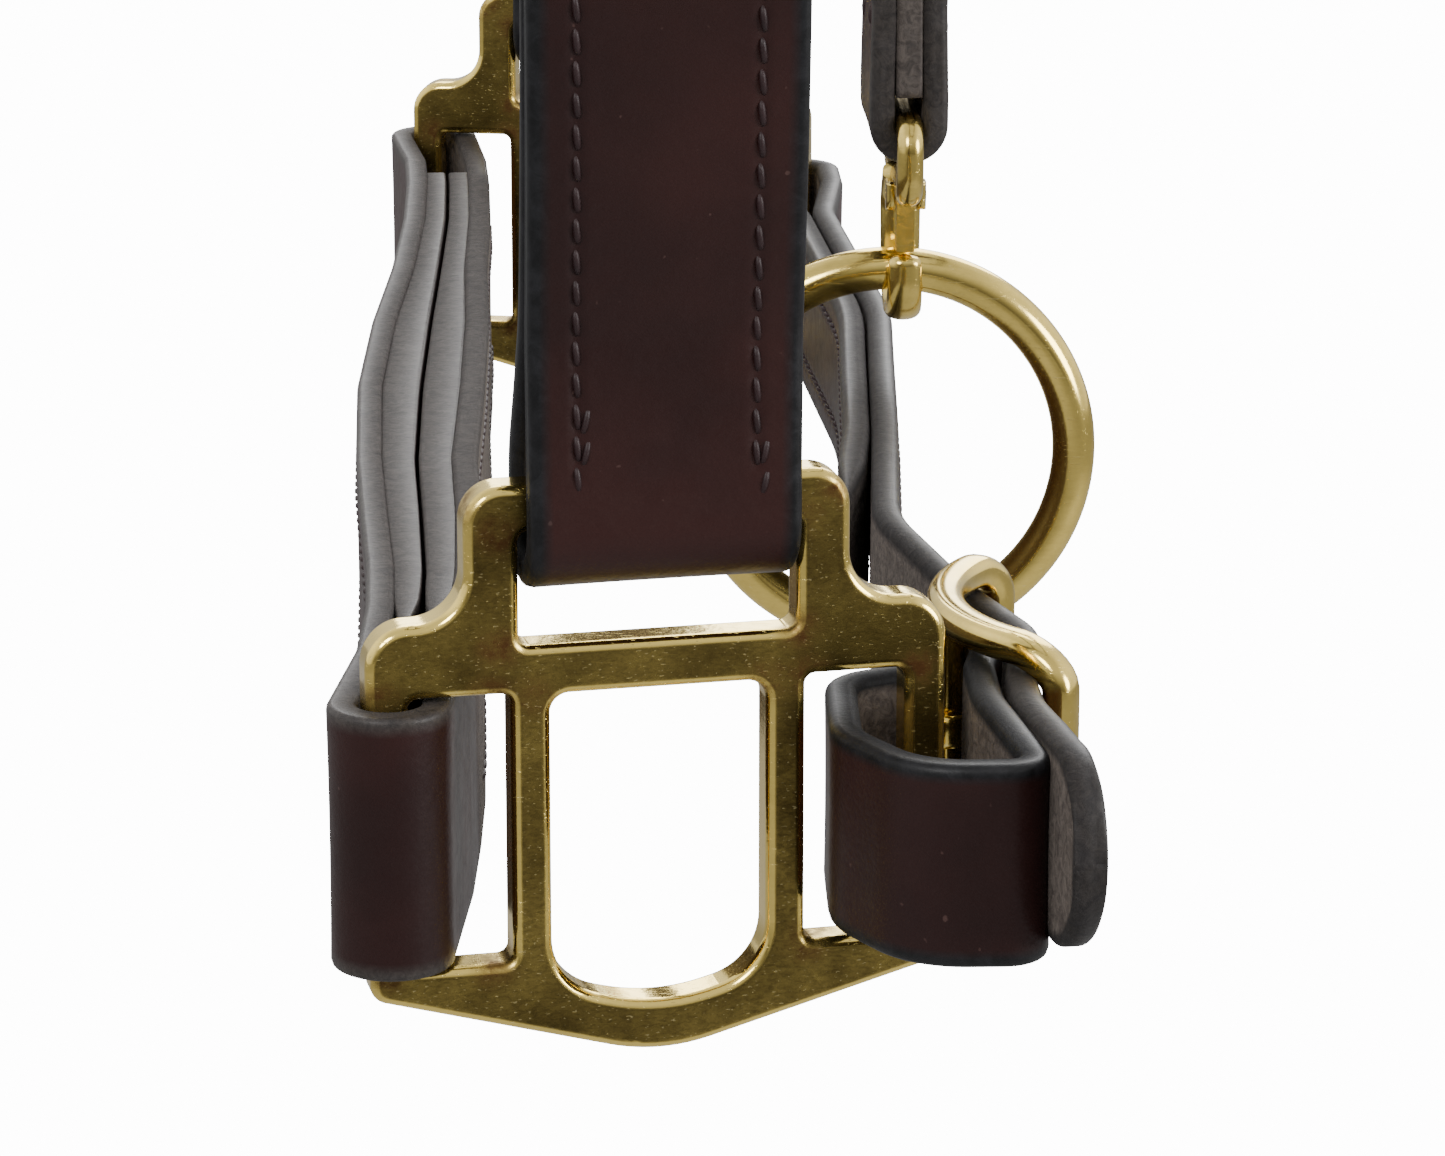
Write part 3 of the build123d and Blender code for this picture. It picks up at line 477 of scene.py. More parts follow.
def strap(name, body, cad_nodes, places, across, width, thickness, closed=False, rows=(), sewn=None,
          holes=(), tip=0.0, skived=0.0, wave=0.0, cup=0.0, raw_outside=None, worn=0.0, dents=(),
          swelling=None, edge_round=0.95, seed=1):
    """A strap: a flat section with rounded edges carried along a path. Each place is the path's place, plus
    the section's distance across, plus its height out of the grain side. The height dips along each row of
    stitches, rises and falls by slow waves of the length, and closes to nothing in each punched hole."""
    across = np.broadcast_to(np.asarray(across, float), places.shape)
    reach, heading, out = path_frame(places, across, closed)
    half, high, curve = width / 2, thickness / 2, min(edge_round, thickness / 2 * 0.9)
    round_row, round_hole, least_step = 1.5, 2.7, 0.12
    finer = [row + np.linspace(-round_row, round_row, 9) for row in rows]
    if len(holes):
        finer.append(np.linspace(-round_hole, round_hole, 15))
    flat = np.unique(np.round(np.concatenate([np.linspace(-1, 1, 21) * (half - curve)] + finer), 2))
    flat = flat[np.concatenate([[True], np.diff(flat) > least_step])]
    flat[-1] = half - curve
    count = len(flat)
    bend = np.linspace(0, pi / 2, 6)[1:]
    right = np.stack([half - curve + curve * np.sin(bend), high - curve + curve * np.cos(bend)], axis=1)
    lower = right[::-1] * [1, -1]
    quarter = np.concatenate([right, lower[:-1]])
    section = np.concatenate([
        np.stack([flat, np.full(count, high)], axis=1), quarter,
        np.stack([flat[::-1], np.full(count, -high)], axis=1), -quarter,
    ])
    dyed_end = 1.2
    tip_dye = np.clip((reach - reach[-1] + dyed_end) / (dyed_end / 2), 0, 1) * (tip > 0)
    on_edge = np.concatenate([np.zeros(count), np.ones(len(quarter)), np.zeros(count), np.ones(len(quarter))])
    inset = half - np.abs(section[:, 0])
    dyed_width, dye_fade = 1.55, 0.5
    dye = np.maximum(np.clip((dyed_width - inset) / dye_fade, 0, 1), on_edge)
    side = np.sign(section[:, 1])
    v = section[:, 0][None, :] + 0 * reach[:, None]
    h = section[:, 1][None, :] + 0 * reach[:, None]
    total = reach[-1] + 1e-9
    s = reach[:, None]
    is_sewn = np.ones_like(reach)
    if sewn is not None:
        is_sewn = np.zeros_like(reach)
        for start, end in sewn:
            is_sewn = np.maximum(is_sewn, ((reach >= start) & (reach <= end)).astype(float))
    pull = np.zeros_like(h)
    for row in rows:
        beat = 0.5 + 0.5 * np.cos(2 * pi * s / stitch_pitch)
        pull += is_sewn[:, None] * (0.55 + 0.45 * beat) * np.exp(-((v - row) / 0.55) ** 2)
        pull -= is_sewn[:, None] * 0.32 * beat ** 3 * np.exp(-((np.abs(v - row) - 0.95) / 0.4) ** 2)
    h = h * (1 - 0.17 * pull * (3.0 / thickness))
    opening = np.zeros_like(h)
    # The opening thins the leather to almost nothing at each hole, and the hole mark made from it paints that
    # spot near black as shade.
    for at, sideways, size in holes:
        gap = np.hypot(s - at, v - sideways)
        opening = np.maximum(opening, np.clip((size + 0.35 - gap) / 0.7, 0, 1))
    opening = opening * opening * (3 - 2 * opening)
    h = h * (1 - 0.97 * opening)
    if tip:
        share = np.clip((reach - (total - tip)) / tip, 0, 1)
        v = v * np.sqrt(np.clip(1 - share ** 2, 0.0009, 1))[:, None]
    if skived:
        feather = 0.12
        h = h * (feather + (1 - feather) * np.clip(reach / skived, 0, 1))[:, None]
    for at, depth, spread in dents:
        h = h - depth * np.exp(-((s - at) / spread) ** 2)
    if swelling is not None:
        h = h * swelling[:, None]
    turns = np.random.default_rng(seed).uniform(0, 2 * pi, 4)
    swell = np.zeros_like(s)
    for waves, phase in zip((2, 3, 5, 9), turns):
        swell = swell + np.sin(2 * pi * waves * s / total + phase) / waves
    h = h + wave * swell + cup * ((v / half) ** 2 - 0.4)
    grid = places[:, None, :] + across[:, None, :] * v[..., None] + out[:, None, :] * h[..., None]
    flesh = np.broadcast_to(np.clip(-side, 0, 1)[None, :], h.shape).copy()
    if raw_outside is not None:
        flesh = np.maximum(flesh, raw_outside[:, None])
    marks = {
        "edge": np.maximum(dye[None, :], tip_dye[:, None]), "flesh": flesh, "hole shade": opening,
        "worn": np.full(h.shape, worn),
    }
    piece = join_grid(name, grid, closed, True, marks, caps=not closed)
    piece.data.materials.append(bridle_leather)
    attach(piece, body)
    if cad_nodes:
        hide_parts(*cad_nodes)
    return piece


stitch_pitch = 2.9


def stitching(name, body, places, across, rows, spans, closed, rise, slant=0.10, length=2.75, gauge=0.33):
    """Rows of short stitches: each is a round thread whose ends dive into the leather, so that its height
    above the surface is a hump, 1 minus the square of the distance from its middle."""
    across = np.broadcast_to(np.asarray(across, float), places.shape)
    reach, heading, out = path_frame(places, across, closed)
    starts = []
    for low, high in spans:
        first = np.ceil(low / stitch_pitch)
        count = int(high / stitch_pitch - first)
        starts.append((first + np.arange(count) + 0.5) * stitch_pitch)
    at = np.concatenate(starts)
    along = np.linspace(-1, 1, 7)
    around = np.linspace(0, 2 * pi, 6, endpoint=False)
    body_width = gauge * np.sqrt(np.clip(1 - along ** 4, 0.03, 1))
    lift = 0.30 * (1 - along ** 2) - 0.34
    blocks = []
    middle, go, up, over = [
        np.stack([np.interp(at, reach, part[:, axis]) for axis in range(3)], axis=1)
        for part in (places, heading, out, across)
    ]
    go, over = go * cos(slant) + over * sin(slant), over * cos(slant) - go * sin(slant)
    for row in rows:
        spot = middle + over * row / cos(slant) + up * rise
        blocks.append(
            spot[:, None, None, :] + go[:, None, None, :] * (along * length / 2)[None, :, None, None]
            + over[:, None, None, :] * (body_width[:, None] * np.cos(around))[None, ..., None]
            + up[:, None, None, :] * (lift[:, None] + body_width[:, None] * np.sin(around))[None, ..., None],
        )
    tubes = np.concatenate(blocks)
    count = len(tubes)
    index = np.arange(count * len(along) * len(around)).reshape(count, len(along), len(around))
    first, second = index[:, :-1, :], index[:, 1:, :]
    faces = np.stack([first, np.roll(first, -1, axis=2), np.roll(second, -1, axis=2), second], axis=-1)
    caps = np.concatenate([index[:, 0, ::-1], index[:, -1, :]])
    mesh = bpy.data.meshes.new(name)
    mesh.from_pydata((tubes.reshape(-1, 3) * mm).tolist(), [], faces.reshape(-1, 4).tolist() + caps.tolist())
    mesh.polygons.foreach_set("use_smooth", np.ones(len(mesh.polygons), bool))
    mesh.update()
    piece = bpy.data.objects.new(name, mesh)
    bpy.context.scene.collection.objects.link(piece)
    piece.data.materials.append(waxed_thread)
    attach(piece, body)
    return piece


main_width = 24.8
row_inset = 4.3
cheek_length = 190.0
lean_out = radians(12)
cheek_radius = cheek_length / lean_out
top_bar_z = square_z + square_top - top_bar / 2
ring_fold_radius = ring_wire_radius + seat_gap + ply / 2
wide_fold_rise = sqrt(ring_radius ** 2 - (main_width / 2) ** 2) - ring_wire_radius - 0.9 - seat_gap - ply / 2
ring_outside = ring_radius + ring_wire_radius + seat_gap
ring_out = -near_ring_centre[1]
ring_z = near_ring_centre[2]


def cheek_place(distance, outward):
    """How far out and how high the cheek is, this far along it: an arc that starts 12 degrees from upright
    and ends upright at the throat ring."""
    lean = lean_out * (1 - distance / cheek_length)
    return (
        ring_out - cheek_radius + (cheek_radius + outward) * cos(lean),
        ring_z - (cheek_radius + outward) * sin(lean),
    )


lay = 1.55
low_fold = top_bar_z - (square_top - top_bar / 2) + 18.4
upper_join = cheek_length - ring_radius - ring_wire_radius - 14
cheek_points = [
    (half_span + fold_radius, top_bar_z + 3), (half_span + fold_radius, low_fold),
    (half_span - fold_radius, low_fold), (half_span - fold_radius, top_bar_z + 3),
    cheek_place(17, -lay), cheek_place(50, -lay), cheek_place(90, -lay), cheek_place(upper_join - 8, -lay),
    (ring_out - ring_fold_radius, ring_z - ring_outside),
    (ring_out - ring_fold_radius, ring_z - wide_fold_rise),
    (ring_out + ring_fold_radius, ring_z - wide_fold_rise),
    (ring_out + ring_fold_radius, ring_z - ring_outside),
    cheek_place(upper_join - 8, lay), cheek_place(90, lay), cheek_place(50, lay), cheek_place(17, lay),
]
tight, ring_tight = fold_radius - 0.02, ring_fold_radius - 0.05
cheek_radii = [14, tight, tight, 14, 20, 300, 300, 14, 8, ring_tight, ring_tight, 8, 14, 300, 300, 14]

flat_path = rounded_path(cheek_points, cheek_radii, closed=True, step=0.5)
turn = toe_in * np.clip(1 - (flat_path[:, 1] - top_bar_z) / 110, 0, 1)
turn = np.where(flat_path[:, 1] < top_bar_z, toe_in, turn)
out = flat_path[:, 0] - half_span
rows = (-(main_width / 2 - row_inset), main_width / 2 - row_inset)
back_rows = (rows[0] + 0.75, rows[1] + 0.75)

for name, side in (("near", -1), ("far", 1)):
    places = np.stack(
        [out * np.sin(turn), side * (half_span + out * np.cos(turn)), flat_path[:, 1]], axis=1,
    )
    across = np.stack([np.cos(turn), -side * np.sin(turn), 0 * turn], axis=1) * -side
    reach = length_along(places)
    outer_start, outer_end, inner_start, inner_end = [
        reach[nearest(flat_path, cheek_points[corner])] for corner in (12, 15, 4, 7)
    ]
    spans = [(outer_start, outer_end + 15.5), (inner_start - 15.5, inner_end)]
    back_spans = [(outer_end + 7, outer_end + 15.5)]
    strap(
        name + "_cheek_leather", "headcollar", [name + "_cheek_strap"], places, across, main_width, ply,
        closed=True, rows=rows, sewn=spans, cup=0.08, wave=0.05, seed=3,
        dents=[(outer_end + 17.5, 0.6, 2.0), (outer_end + 21.5, -0.25, 3.0), (inner_start - 17.5, 0.3, 2.2)],
    )
    stitching(name + "_cheek_stitches", "headcollar", places, across, rows, spans, True, ply / 2)
    stitching(
        name + "_cheek_back_stitches", "headcollar", places, across, back_rows, back_spans, True, ply / 2,
        slant=-0.22,
    )

# ======================================================================== Noseband
# One strap goes round the front bar of both squares. Between them its two plies are lined, so the band is
# thick there, and the plies part again at each square to let the bar turn.

front_x, front_y = -26.8 + 3.8 / 2, -half_span
front_x, front_y = front_x * cos(toe_in), -half_span + front_x * sin(toe_in)
slot_z = square_z + 7.3 - (main_width + 0.8) / 2
outer_x, inner_x = front_x - fold_radius, front_x + fold_radius
nose_end = -front_y + fold_radius
nose_ply = 2.8
# Along the band: the place across the nose, and how far forward its face and its back lie there.
nose_at = np.array([-112.0, -98, -84, -64, -42, -11, 20, 48, 76, 98, 112])
nose_face = np.array([-27.4, -26.9, -27.2, -28.3, -29.4, -30.1, -29.3, -27.7, -26.9, -26.9, -27.4])
nose_back = np.array([-16.8, -16.2, -15.9, -16.1, -16.8, -16.2, -15.9, -16.3, -16.0, -16.3, -16.8])
back_run = [(x - nose_ply / 2, y) for x, y in zip(nose_back, nose_at)]
face_run = [(x + nose_ply / 2, y) for x, y in zip(nose_face[::-1], nose_at[::-1])]
far_turn = [(inner_x, nose_end), (outer_x, nose_end)]
nose_points = [(inner_x, -nose_end)] + back_run + far_turn + face_run + [(outer_x, -nose_end)]
nose_turn = fold_radius - 0.1
nose_radii = [nose_turn, 14] + [60] * 9 + [14, nose_turn, nose_turn, 14] + [60] * 9 + [14, nose_turn]
flat_path = rounded_path(nose_points, nose_radii, closed=True, step=0.8)
places = np.insert(flat_path, 2, slot_z, axis=1)
reach = length_along(places)
mid_nose = -22
between = np.where(np.abs(flat_path[:, 1]) < 92)[0]
on_back, on_face = between[flat_path[between, 0] > mid_nose], between[flat_path[between, 0] < mid_nose]
nose_spans = [(reach[run].min(), reach[run].max()) for run in (on_back, on_face)]
raw = np.clip((104 - np.abs(flat_path[:, 1])) / 8, 0, 1) * (flat_path[:, 0] > mid_nose)
wide_rows = (-8.1, 8.1)
strap(
    "noseband_leather", "headcollar", ["noseband"], places, (0, 0, 1), main_width, nose_ply, closed=True,
    rows=wide_rows, sewn=nose_spans, wave=0.06, cup=0.12, raw_outside=raw, worn=0.35, edge_round=0.6, seed=5,
)
stitching("noseband_stitches", "headcollar", places, (0, 0, 1), wide_rows, nose_spans, True, nose_ply / 2)
lining_at, lining_base = np.linspace(-106, 104, 40), 3.0
face_at, back_at = np.interp(lining_at, nose_at, nose_face), np.interp(lining_at, nose_at, nose_back)
lining_thick = (back_at - face_at - 2 * nose_ply + 0.1) / 2
lining_share = lining_thick / lining_base * np.clip((lining_at + 106) / 14 + 0.15, 0, 1)
for label, lining_x in (
    ("outer", face_at + nose_ply + lining_thick / 2 - 0.25),
    ("inner", back_at - nose_ply - lining_thick / 2 + 0.25),
):
    turned = rounded_path(np.stack([lining_x, lining_at], axis=1), [30] * 38, step=1.0)
    strap(
        "noseband_lining_" + label, "headcollar", [], np.insert(turned, 2, slot_z, axis=1), (0, 0, 1),
        main_width - 0.6, lining_base, wave=0.03, edge_round=0.35, worn=0.36, seed=7,
        swelling=np.interp(turned[:, 1], lining_at, lining_share),
    )

# ======================================================================== Buckles
# Two brass buckles. Each frame is an arched casting with a middle bar, on which the chape and a round tongue
# turn. The strap's free end goes over the middle bar and under the two end bars.

buckle_brass = plain_brass("buckle brass", 0.08, 0.15, 0.05, 0.2, 0.00004)


def cast_bar(name, places, facing, wide, deep, closed, squareness=2.6):
    """A cast bar: a rounded section carried along a path. Round the section, the sideways and the facing
    distances are the cosine and the sine of the turn, each to the power of 2 / squareness with its sign
    kept."""
    if closed:
        heading = np.roll(places, -1, axis=0) - np.roll(places, 1, axis=0)
    else:
        heading = np.gradient(places, axis=0)
    heading /= np.linalg.norm(heading, axis=1)[:, None]
    facing = np.broadcast_to(facing, places.shape)
    facing = facing - heading * (facing * heading).sum(axis=1)[:, None]
    facing /= np.linalg.norm(facing, axis=1)[:, None]
    aside = np.cross(heading, facing)
    turn = np.linspace(0, 2 * pi, 28, endpoint=False)
    sideways = np.sign(np.cos(turn)) * np.abs(np.cos(turn)) ** (2 / squareness)
    raised = np.sign(np.sin(turn)) * np.abs(np.sin(turn)) ** (2 / squareness)
    wide, deep = np.broadcast_to(wide, len(places)), np.broadcast_to(deep, len(places))
    grid = (
        places[:, None, :] + aside[:, None, :] * (wide[:, None] * sideways)[..., None]
        + facing[:, None, :] * (deep[:, None] * raised)[..., None]
    )
    return join_grid(name, grid, closed, True, caps=not closed)


def as_one(name, bars, body, cad_nodes, material):
    """Several bars put into one mesh, as one casting."""
    casting = bmesh.new()
    for bar in bars:
        casting.from_mesh(bar.data)
        bpy.data.objects.remove(bar)
    mesh = bpy.data.meshes.new(name)
    casting.to_mesh(mesh)
    casting.free()
    piece = bpy.data.objects.new(name, mesh)
    bpy.context.scene.collection.objects.link(piece)
    mesh.materials.append(material)
    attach(piece, body)
    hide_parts(*cad_nodes)
    return piece


buckle_reach, tongue_rise, keeper_rise = 16.0, 6.0, 9.4
frame_thickness, frame_side = 3.6, 3.2
middle_bar_radius, tongue_radius = 1.6, 1.3
arch = np.array([[2 * -buckle_reach, 2 * keeper_rise], [2 * buckle_reach, 2 * tongue_rise]])
arch_centre = np.linalg.solve(
    arch, [buckle_reach ** 2 + keeper_rise ** 2, buckle_reach ** 2 + tongue_rise ** 2],
)
arch_radius = np.linalg.norm(arch_centre)
tongue_lean = atan2(tongue_rise, buckle_reach) + np.arcsin(
    (frame_thickness / 2 + 0.15 + tongue_radius) / np.hypot(buckle_reach, tongue_rise),
)
tongue_length = np.hypot(buckle_reach, tongue_rise) + 3.0


def buckle(name, hinge, inside, along_way, out_way, across_way, tongue_body):
    """The frame is a rectangle with round corners wrapped on the arch: a place at distance t along it lies on
    the circle through both end bars and the middle bar. The middle bar is a straight round rod, and the
    tongue is a rod that narrows to a round tip, with a flat eye round the middle bar."""
    half = inside / 2 + frame_side / 2
    frame_corners = [(half * x, buckle_reach * y) for x, y in ((-1, -1), (1, -1), (1, 1), (-1, 1))]
    outline = rounded_path(frame_corners, [3.4] * 4, closed=True, step=0.6)
    rise = arch_centre[1] - np.sqrt(arch_radius ** 2 - (outline[:, 1] - arch_centre[0]) ** 2)
    towards = np.stack([arch_centre[0] - outline[:, 1], arch_centre[1] - rise], axis=1) / arch_radius
    places = hinge + outline[:, :1] * across_way + outline[:, 1:] * along_way + rise[:, None] * out_way
    facing = towards[:, :1] * along_way + towards[:, 1:] * out_way
    loop = cast_bar("frame", places, facing, frame_side / 2, frame_thickness / 2, True)
    rod_places = hinge + np.linspace(-half, half, 40)[:, None] * across_way
    rod = cast_bar("rod", rod_places, out_way, middle_bar_radius, middle_bar_radius, False, 2.0)
    frame_node, tongue_node = name + "_buckle_frame", name + "_buckle_tongue"
    as_one(frame_node + "_cast", [loop, rod], "headcollar", [frame_node], buckle_brass)
    pointing = along_way * cos(tongue_lean) + out_way * sin(tongue_lean)
    tip_share, tongue_root = 0.07, 2.4
    shank = 1 - tip_share
    rounding = 1 - tip_share * np.cos(np.linspace(0, pi / 2, 12))
    share = np.concatenate([np.linspace(0, shank, 30), rounding[1:]])
    tip = np.sqrt(np.clip(1 - ((share - shank) / tip_share).clip(0, 1) ** 2, 0.0004, 1))
    tongue_places = hinge + pointing * (tongue_root + share * (tongue_length - tongue_root))[:, None]
    blade = cast_bar(
        "blade", tongue_places, out_way, tongue_radius * (1 - 0.12 * share) * tip,
        tongue_radius * (1 - 0.06 * share) * tip, False, 2.2,
    )
    spin = np.linspace(0, 2 * pi, 48, endpoint=False)[:, None]
    eye_way = np.cos(spin) * along_way + np.sin(spin) * out_way
    eye = cast_bar("eye", hinge + eye_way * (middle_bar_radius + 0.95), eye_way, 1.7, 0.85, True, 3.0)
    as_one(tongue_node + "_cast", [blade, eye], tongue_body, [tongue_node], buckle_brass)


main_across, upright, chin_out = np.array([1.0, 0, 0]), np.array([0.0, 0, 1]), np.array([1.0, 0, 0])
chin_buckle = np.array(joints["chin_tongue_hinge"]["pos_m"]) / mm
crown_buckle = np.array(joints["crown_tongue_hinge"]["pos_m"]) / mm
keeper_way = np.array(joints["running_keeper_slide"]["axis"])
buckle_up = keeper_way[1:] / np.linalg.norm(keeper_way[1:])
buckle_up = buckle_up * np.sign(buckle_up[1])
buckle_out = np.array([-buckle_up[1], buckle_up[0]])
crown_up, crown_out = np.array([0, *buckle_up]), np.array([0, *buckle_out])
buckle("crown", crown_buckle, main_width + 0.8, crown_up, crown_out, main_across, "crown_tongue")
narrow_width = 19.0
buckle("chin", chin_buckle, narrow_width + 0.8, np.array([0.0, 1, 0]), chin_out, upright, "chin_tongue")

# ======================================================================== Chin strap and its chape
# The chin strap is sewn round the far square's rear bar, passes through the chin ring and buckles on the near
# side. The chape is a short strap that loops loosely round the near square's rear bar and holds the buckle.

chape_turn = middle_bar_radius + seat_gap + ply / 2
chin_buckle_x, chin_buckle_y = chin_buckle[0], chin_buckle[1]
rear_x, rear_y = 24.9 * cos(toe_in), 24.9 * sin(toe_in) - half_span
billet_lift = chape_turn + ply / 2 + 0.95 + ply / 2
waist_x = chin_buckle_x + 0.3
chape_points = [
    (chin_buckle_x + chape_turn, chin_buckle_y + chape_turn), (chin_buckle_x + chape_turn, chin_buckle_y - 4),
    (waist_x + 1.9, chin_buckle_y - 10), (waist_x + 1.9, rear_y), (rear_x + 9.4, rear_y - 20),
    (rear_x - 1.6, rear_y - 20),
    (rear_x - 7.3, rear_y - 10), (rear_x - 7.0, rear_y + 6), (waist_x - 3.5, rear_y + 10),
    (chin_buckle_x - chape_turn, chin_buckle_y - 4), (chin_buckle_x - chape_turn, chin_buckle_y + chape_turn),
][::-1]
chape_radii = [chape_turn - 0.05, 4, 10, 30, 2.6, 8, 10, 4.5, 4, 4, chape_turn - 0.05][::-1]
flat_path = rounded_path(chape_points, chape_radii, closed=True, step=0.5)
strap(
    "chin_chape_leather", "headcollar", ["chin_chape"], np.insert(flat_path, 2, slot_z, axis=1), (0, 0, 1),
    narrow_width, ply, closed=True, wave=0.06, cup=0.1, seed=9,
)

inner = ply + 0.1
chin_points = [
    (24.9 - inner, -48), (27.5 - inner, -20), (30.2 - inner, 36), (26.6 - inner, 92),
    (rear_x - fold_radius, -rear_y - 8), (rear_x - fold_radius, -rear_y + fold_radius),
    (rear_x + fold_radius, -rear_y + fold_radius), (rear_x + fold_radius, -rear_y - 8), (26.6, 92),
    (30.2, 36), (27.5, -20), (25.4, -56), (chin_buckle_x + 2.6, chin_buckle_y + 15),
    (chin_buckle_x + billet_lift, chin_buckle_y), (chin_buckle_x + 5.7, chin_buckle_y - 14),
    (rear_x + 9.8, rear_y - 2), (rear_x + 11.0, rear_y - 11), (rear_x + 11.8, rear_y - 20),
    (rear_x + 13.0, rear_y - 29),
]
chin_radii = [
    150, 150, 60, 12, fold_radius - 0.05, fold_radius - 0.05, 12, 30, 100, 150, 40, 12, 12, 12, 20, 20, 20,
]
flat_path = rounded_path(chin_points, chin_radii, step=0.6)
lifted = np.clip((chin_buckle_y - 12 - flat_path[:, 1]) / 36, 0, 1) * (flat_path[:, 0] > chin_buckle_x)
places = with_round_end(np.insert(flat_path, 2, slot_z + 2.6 * lifted ** 2, axis=1), narrow_width / 2)
hole_at = length_along(places)[nearest(places, (chin_buckle_x + 5.5, chin_buckle_y + 8.5))]
narrow_rows = (-5.6, 5.6)
chin_spans = [(4, 162), (198, 350)]
strap(
    "chin_strap_leather", "headcollar", ["chin_strap"], places, (0, 0, -1), narrow_width, ply,
    rows=narrow_rows, sewn=chin_spans, holes=[(hole_at + step, 0, 1.9) for step in (-50, -25, 0, 25)],
    tip=narrow_width / 2, skived=14, wave=0.12, cup=0.12, worn=0.18, seed=11,
)
stitching("chin_strap_stitches", "headcollar", places, (0, 0, -1), narrow_rows, chin_spans, False, ply / 2)

# ======================================================================== Crown
# The crown goes over the poll. Its far end is sewn round the far throat ring, and its near end is punched and
# goes through the crown buckle and two keepers. The crown's chape holds the buckle on the near throat ring.

doubled = 2 * ply + 0.3
billet_hold = doubled / 2 + seat_gap + ply / 2
crown_side_radius, crown_radius = 300.0, 60.0


def by_buckle(along, outward):
    """The (y, z) place this far up from the crown buckle's middle bar and this far out from it."""
    return tuple(crown_buckle[1:] + buckle_up * along + buckle_out * outward)


def by_ring(rise, outward):
    """The (y, z) place this far above the near throat ring's middle and this far out from it."""
    return (-ring_out - outward, ring_z + rise)


def crown_side(distance, outward=0.0):
    """The (y, z) place on the near side of the crown, this far along it from the throat ring: an arc that
    starts upright and curves in."""
    lean = distance / crown_side_radius
    reach_out = crown_side_radius + outward
    return (-ring_out + crown_side_radius - reach_out * cos(lean), ring_z + reach_out * sin(lean))


waist = 1.6
crown_chape_points = [
    by_ring(wide_fold_rise, ring_fold_radius), by_ring(wide_fold_rise, -ring_fold_radius),
    by_ring(ring_outside, -ring_fold_radius), by_buckle(-53, -waist),
    by_buckle(-16, -waist), by_buckle(-5, -chape_turn), by_buckle(chape_turn, -chape_turn),
    by_buckle(chape_turn, chape_turn), by_buckle(-5, chape_turn), by_buckle(-16, waist),
    by_buckle(-53, waist), by_ring(ring_outside, ring_fold_radius),
]
crown_chape_radii = [ring_tight] * 2 + [6, 10, 8, 4] + [chape_turn - 0.05] * 2 + [4, 8, 10, 6]
flat_path = rounded_path(crown_chape_points[::-1], crown_chape_radii[::-1], closed=True, step=0.6)
strap(
    "crown_chape_leather", "headcollar", ["crown_chape"], np.insert(flat_path, 0, 0, axis=1), (1, 0, 0),
    main_width, ply, closed=True, wave=0.05, seed=13,
)

crown_turn = np.arccos((crown_side_radius - ring_out) / (crown_side_radius - crown_radius))
shoulder = crown_side_radius * crown_turn
buckle_distance = ring_radius + 68.0
near_points = [
    by_buckle(-52, billet_hold), by_buckle(-buckle_reach - 5, billet_hold), by_buckle(0, billet_lift),
    by_buckle(buckle_reach + 1, 1.6),
]
near_start = buckle_distance + buckle_reach + 18
near_run = [crown_side(distance) for distance in np.linspace(near_start, shoulder - 4, 12)]
poll_turns = np.linspace(crown_turn, -crown_turn + pi, 40)
poll_middle_z = ply / 2 - crown_radius
poll_run = [(-crown_radius * cos(turn), poll_middle_z + crown_radius * sin(turn)) for turn in poll_turns]
far_fold_end = 40
far_run = [
    crown_side(step, waist * (1 - (step - far_fold_end) / (shoulder - far_fold_end)))
    for step in np.linspace(shoulder - 4, far_fold_end, 12)
]
far_run += [
    by_ring(ring_outside, ring_fold_radius), by_ring(wide_fold_rise, ring_fold_radius),
    by_ring(wide_fold_rise, -ring_fold_radius), by_ring(ring_outside, -ring_fold_radius),
    crown_side(far_fold_end, -waist), crown_side(90, -waist),
]
crown_points = near_points + near_run + poll_run[1:-1] + [(-y, z) for y, z in far_run]
bends = [10, 12, 10] + [6] * (len(crown_points) - 10) + [6, ring_tight, ring_tight, 6, 6]
flat_path = rounded_path(crown_points[::-1], bends[::-1], step=0.8)
places = with_round_end(np.insert(flat_path, 0, 0, axis=1), main_width / 2)
hole_at = length_along(places)[nearest(places[:, 1:], by_buckle(8.5, 5.0))]
strap(
    "crown_leather", "headcollar", ["crown_strap"], places, (1, 0, 0), main_width, ply, rows=wide_rows,
    sewn=[(2, 48)], holes=[(hole_at + step, 0, 2.1) for step in (-100, -75, -50, -25, 0, 25)],
    tip=main_width / 2, skived=10, wave=0.06, seed=15,
)
stitching("crown_stitches", "headcollar", places, (1, 0, 0), wide_rows, [(2, 46)], False, ply / 2)

# ======================================================================== Keepers
# Two loops of thinner leather, glued and sewn at the back: one is fixed in the chape below the crown buckle,
# and the other runs on the strap and holds the free end down.

for label, node, body in (
    ("fixed", "crown_fixed_keeper", "headcollar"), ("running", "crown_running_keeper", "running_keeper"),
):
    low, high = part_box(node)
    centre = np.array((low + high) / 2) / mm
    wall = 1.8
    wide = (high.x - low.x) / 2 / mm - wall / 2
    deep = (billet_hold + ply / 2 + doubled / 2 + 0.6 + wall) / 2
    keeper_corners = [(-wide, -deep), (wide, -deep), (wide, deep), (-wide, deep)]
    loop = rounded_path(keeper_corners, [1.6] * 4, closed=True, step=0.5)
    places = centre + loop[:, :1] * main_across + loop[:, 1:] * crown_out
    strap(
        label + "_keeper_leather", body, [node], places, crown_up, 11.0, wall, closed=True, edge_round=0.5,
        seed=17,
    )

# ======================================================================== Throat strap
# It hangs between the two throat rings and goes under the throat, two plies sewn together with a fold round
# each ring.

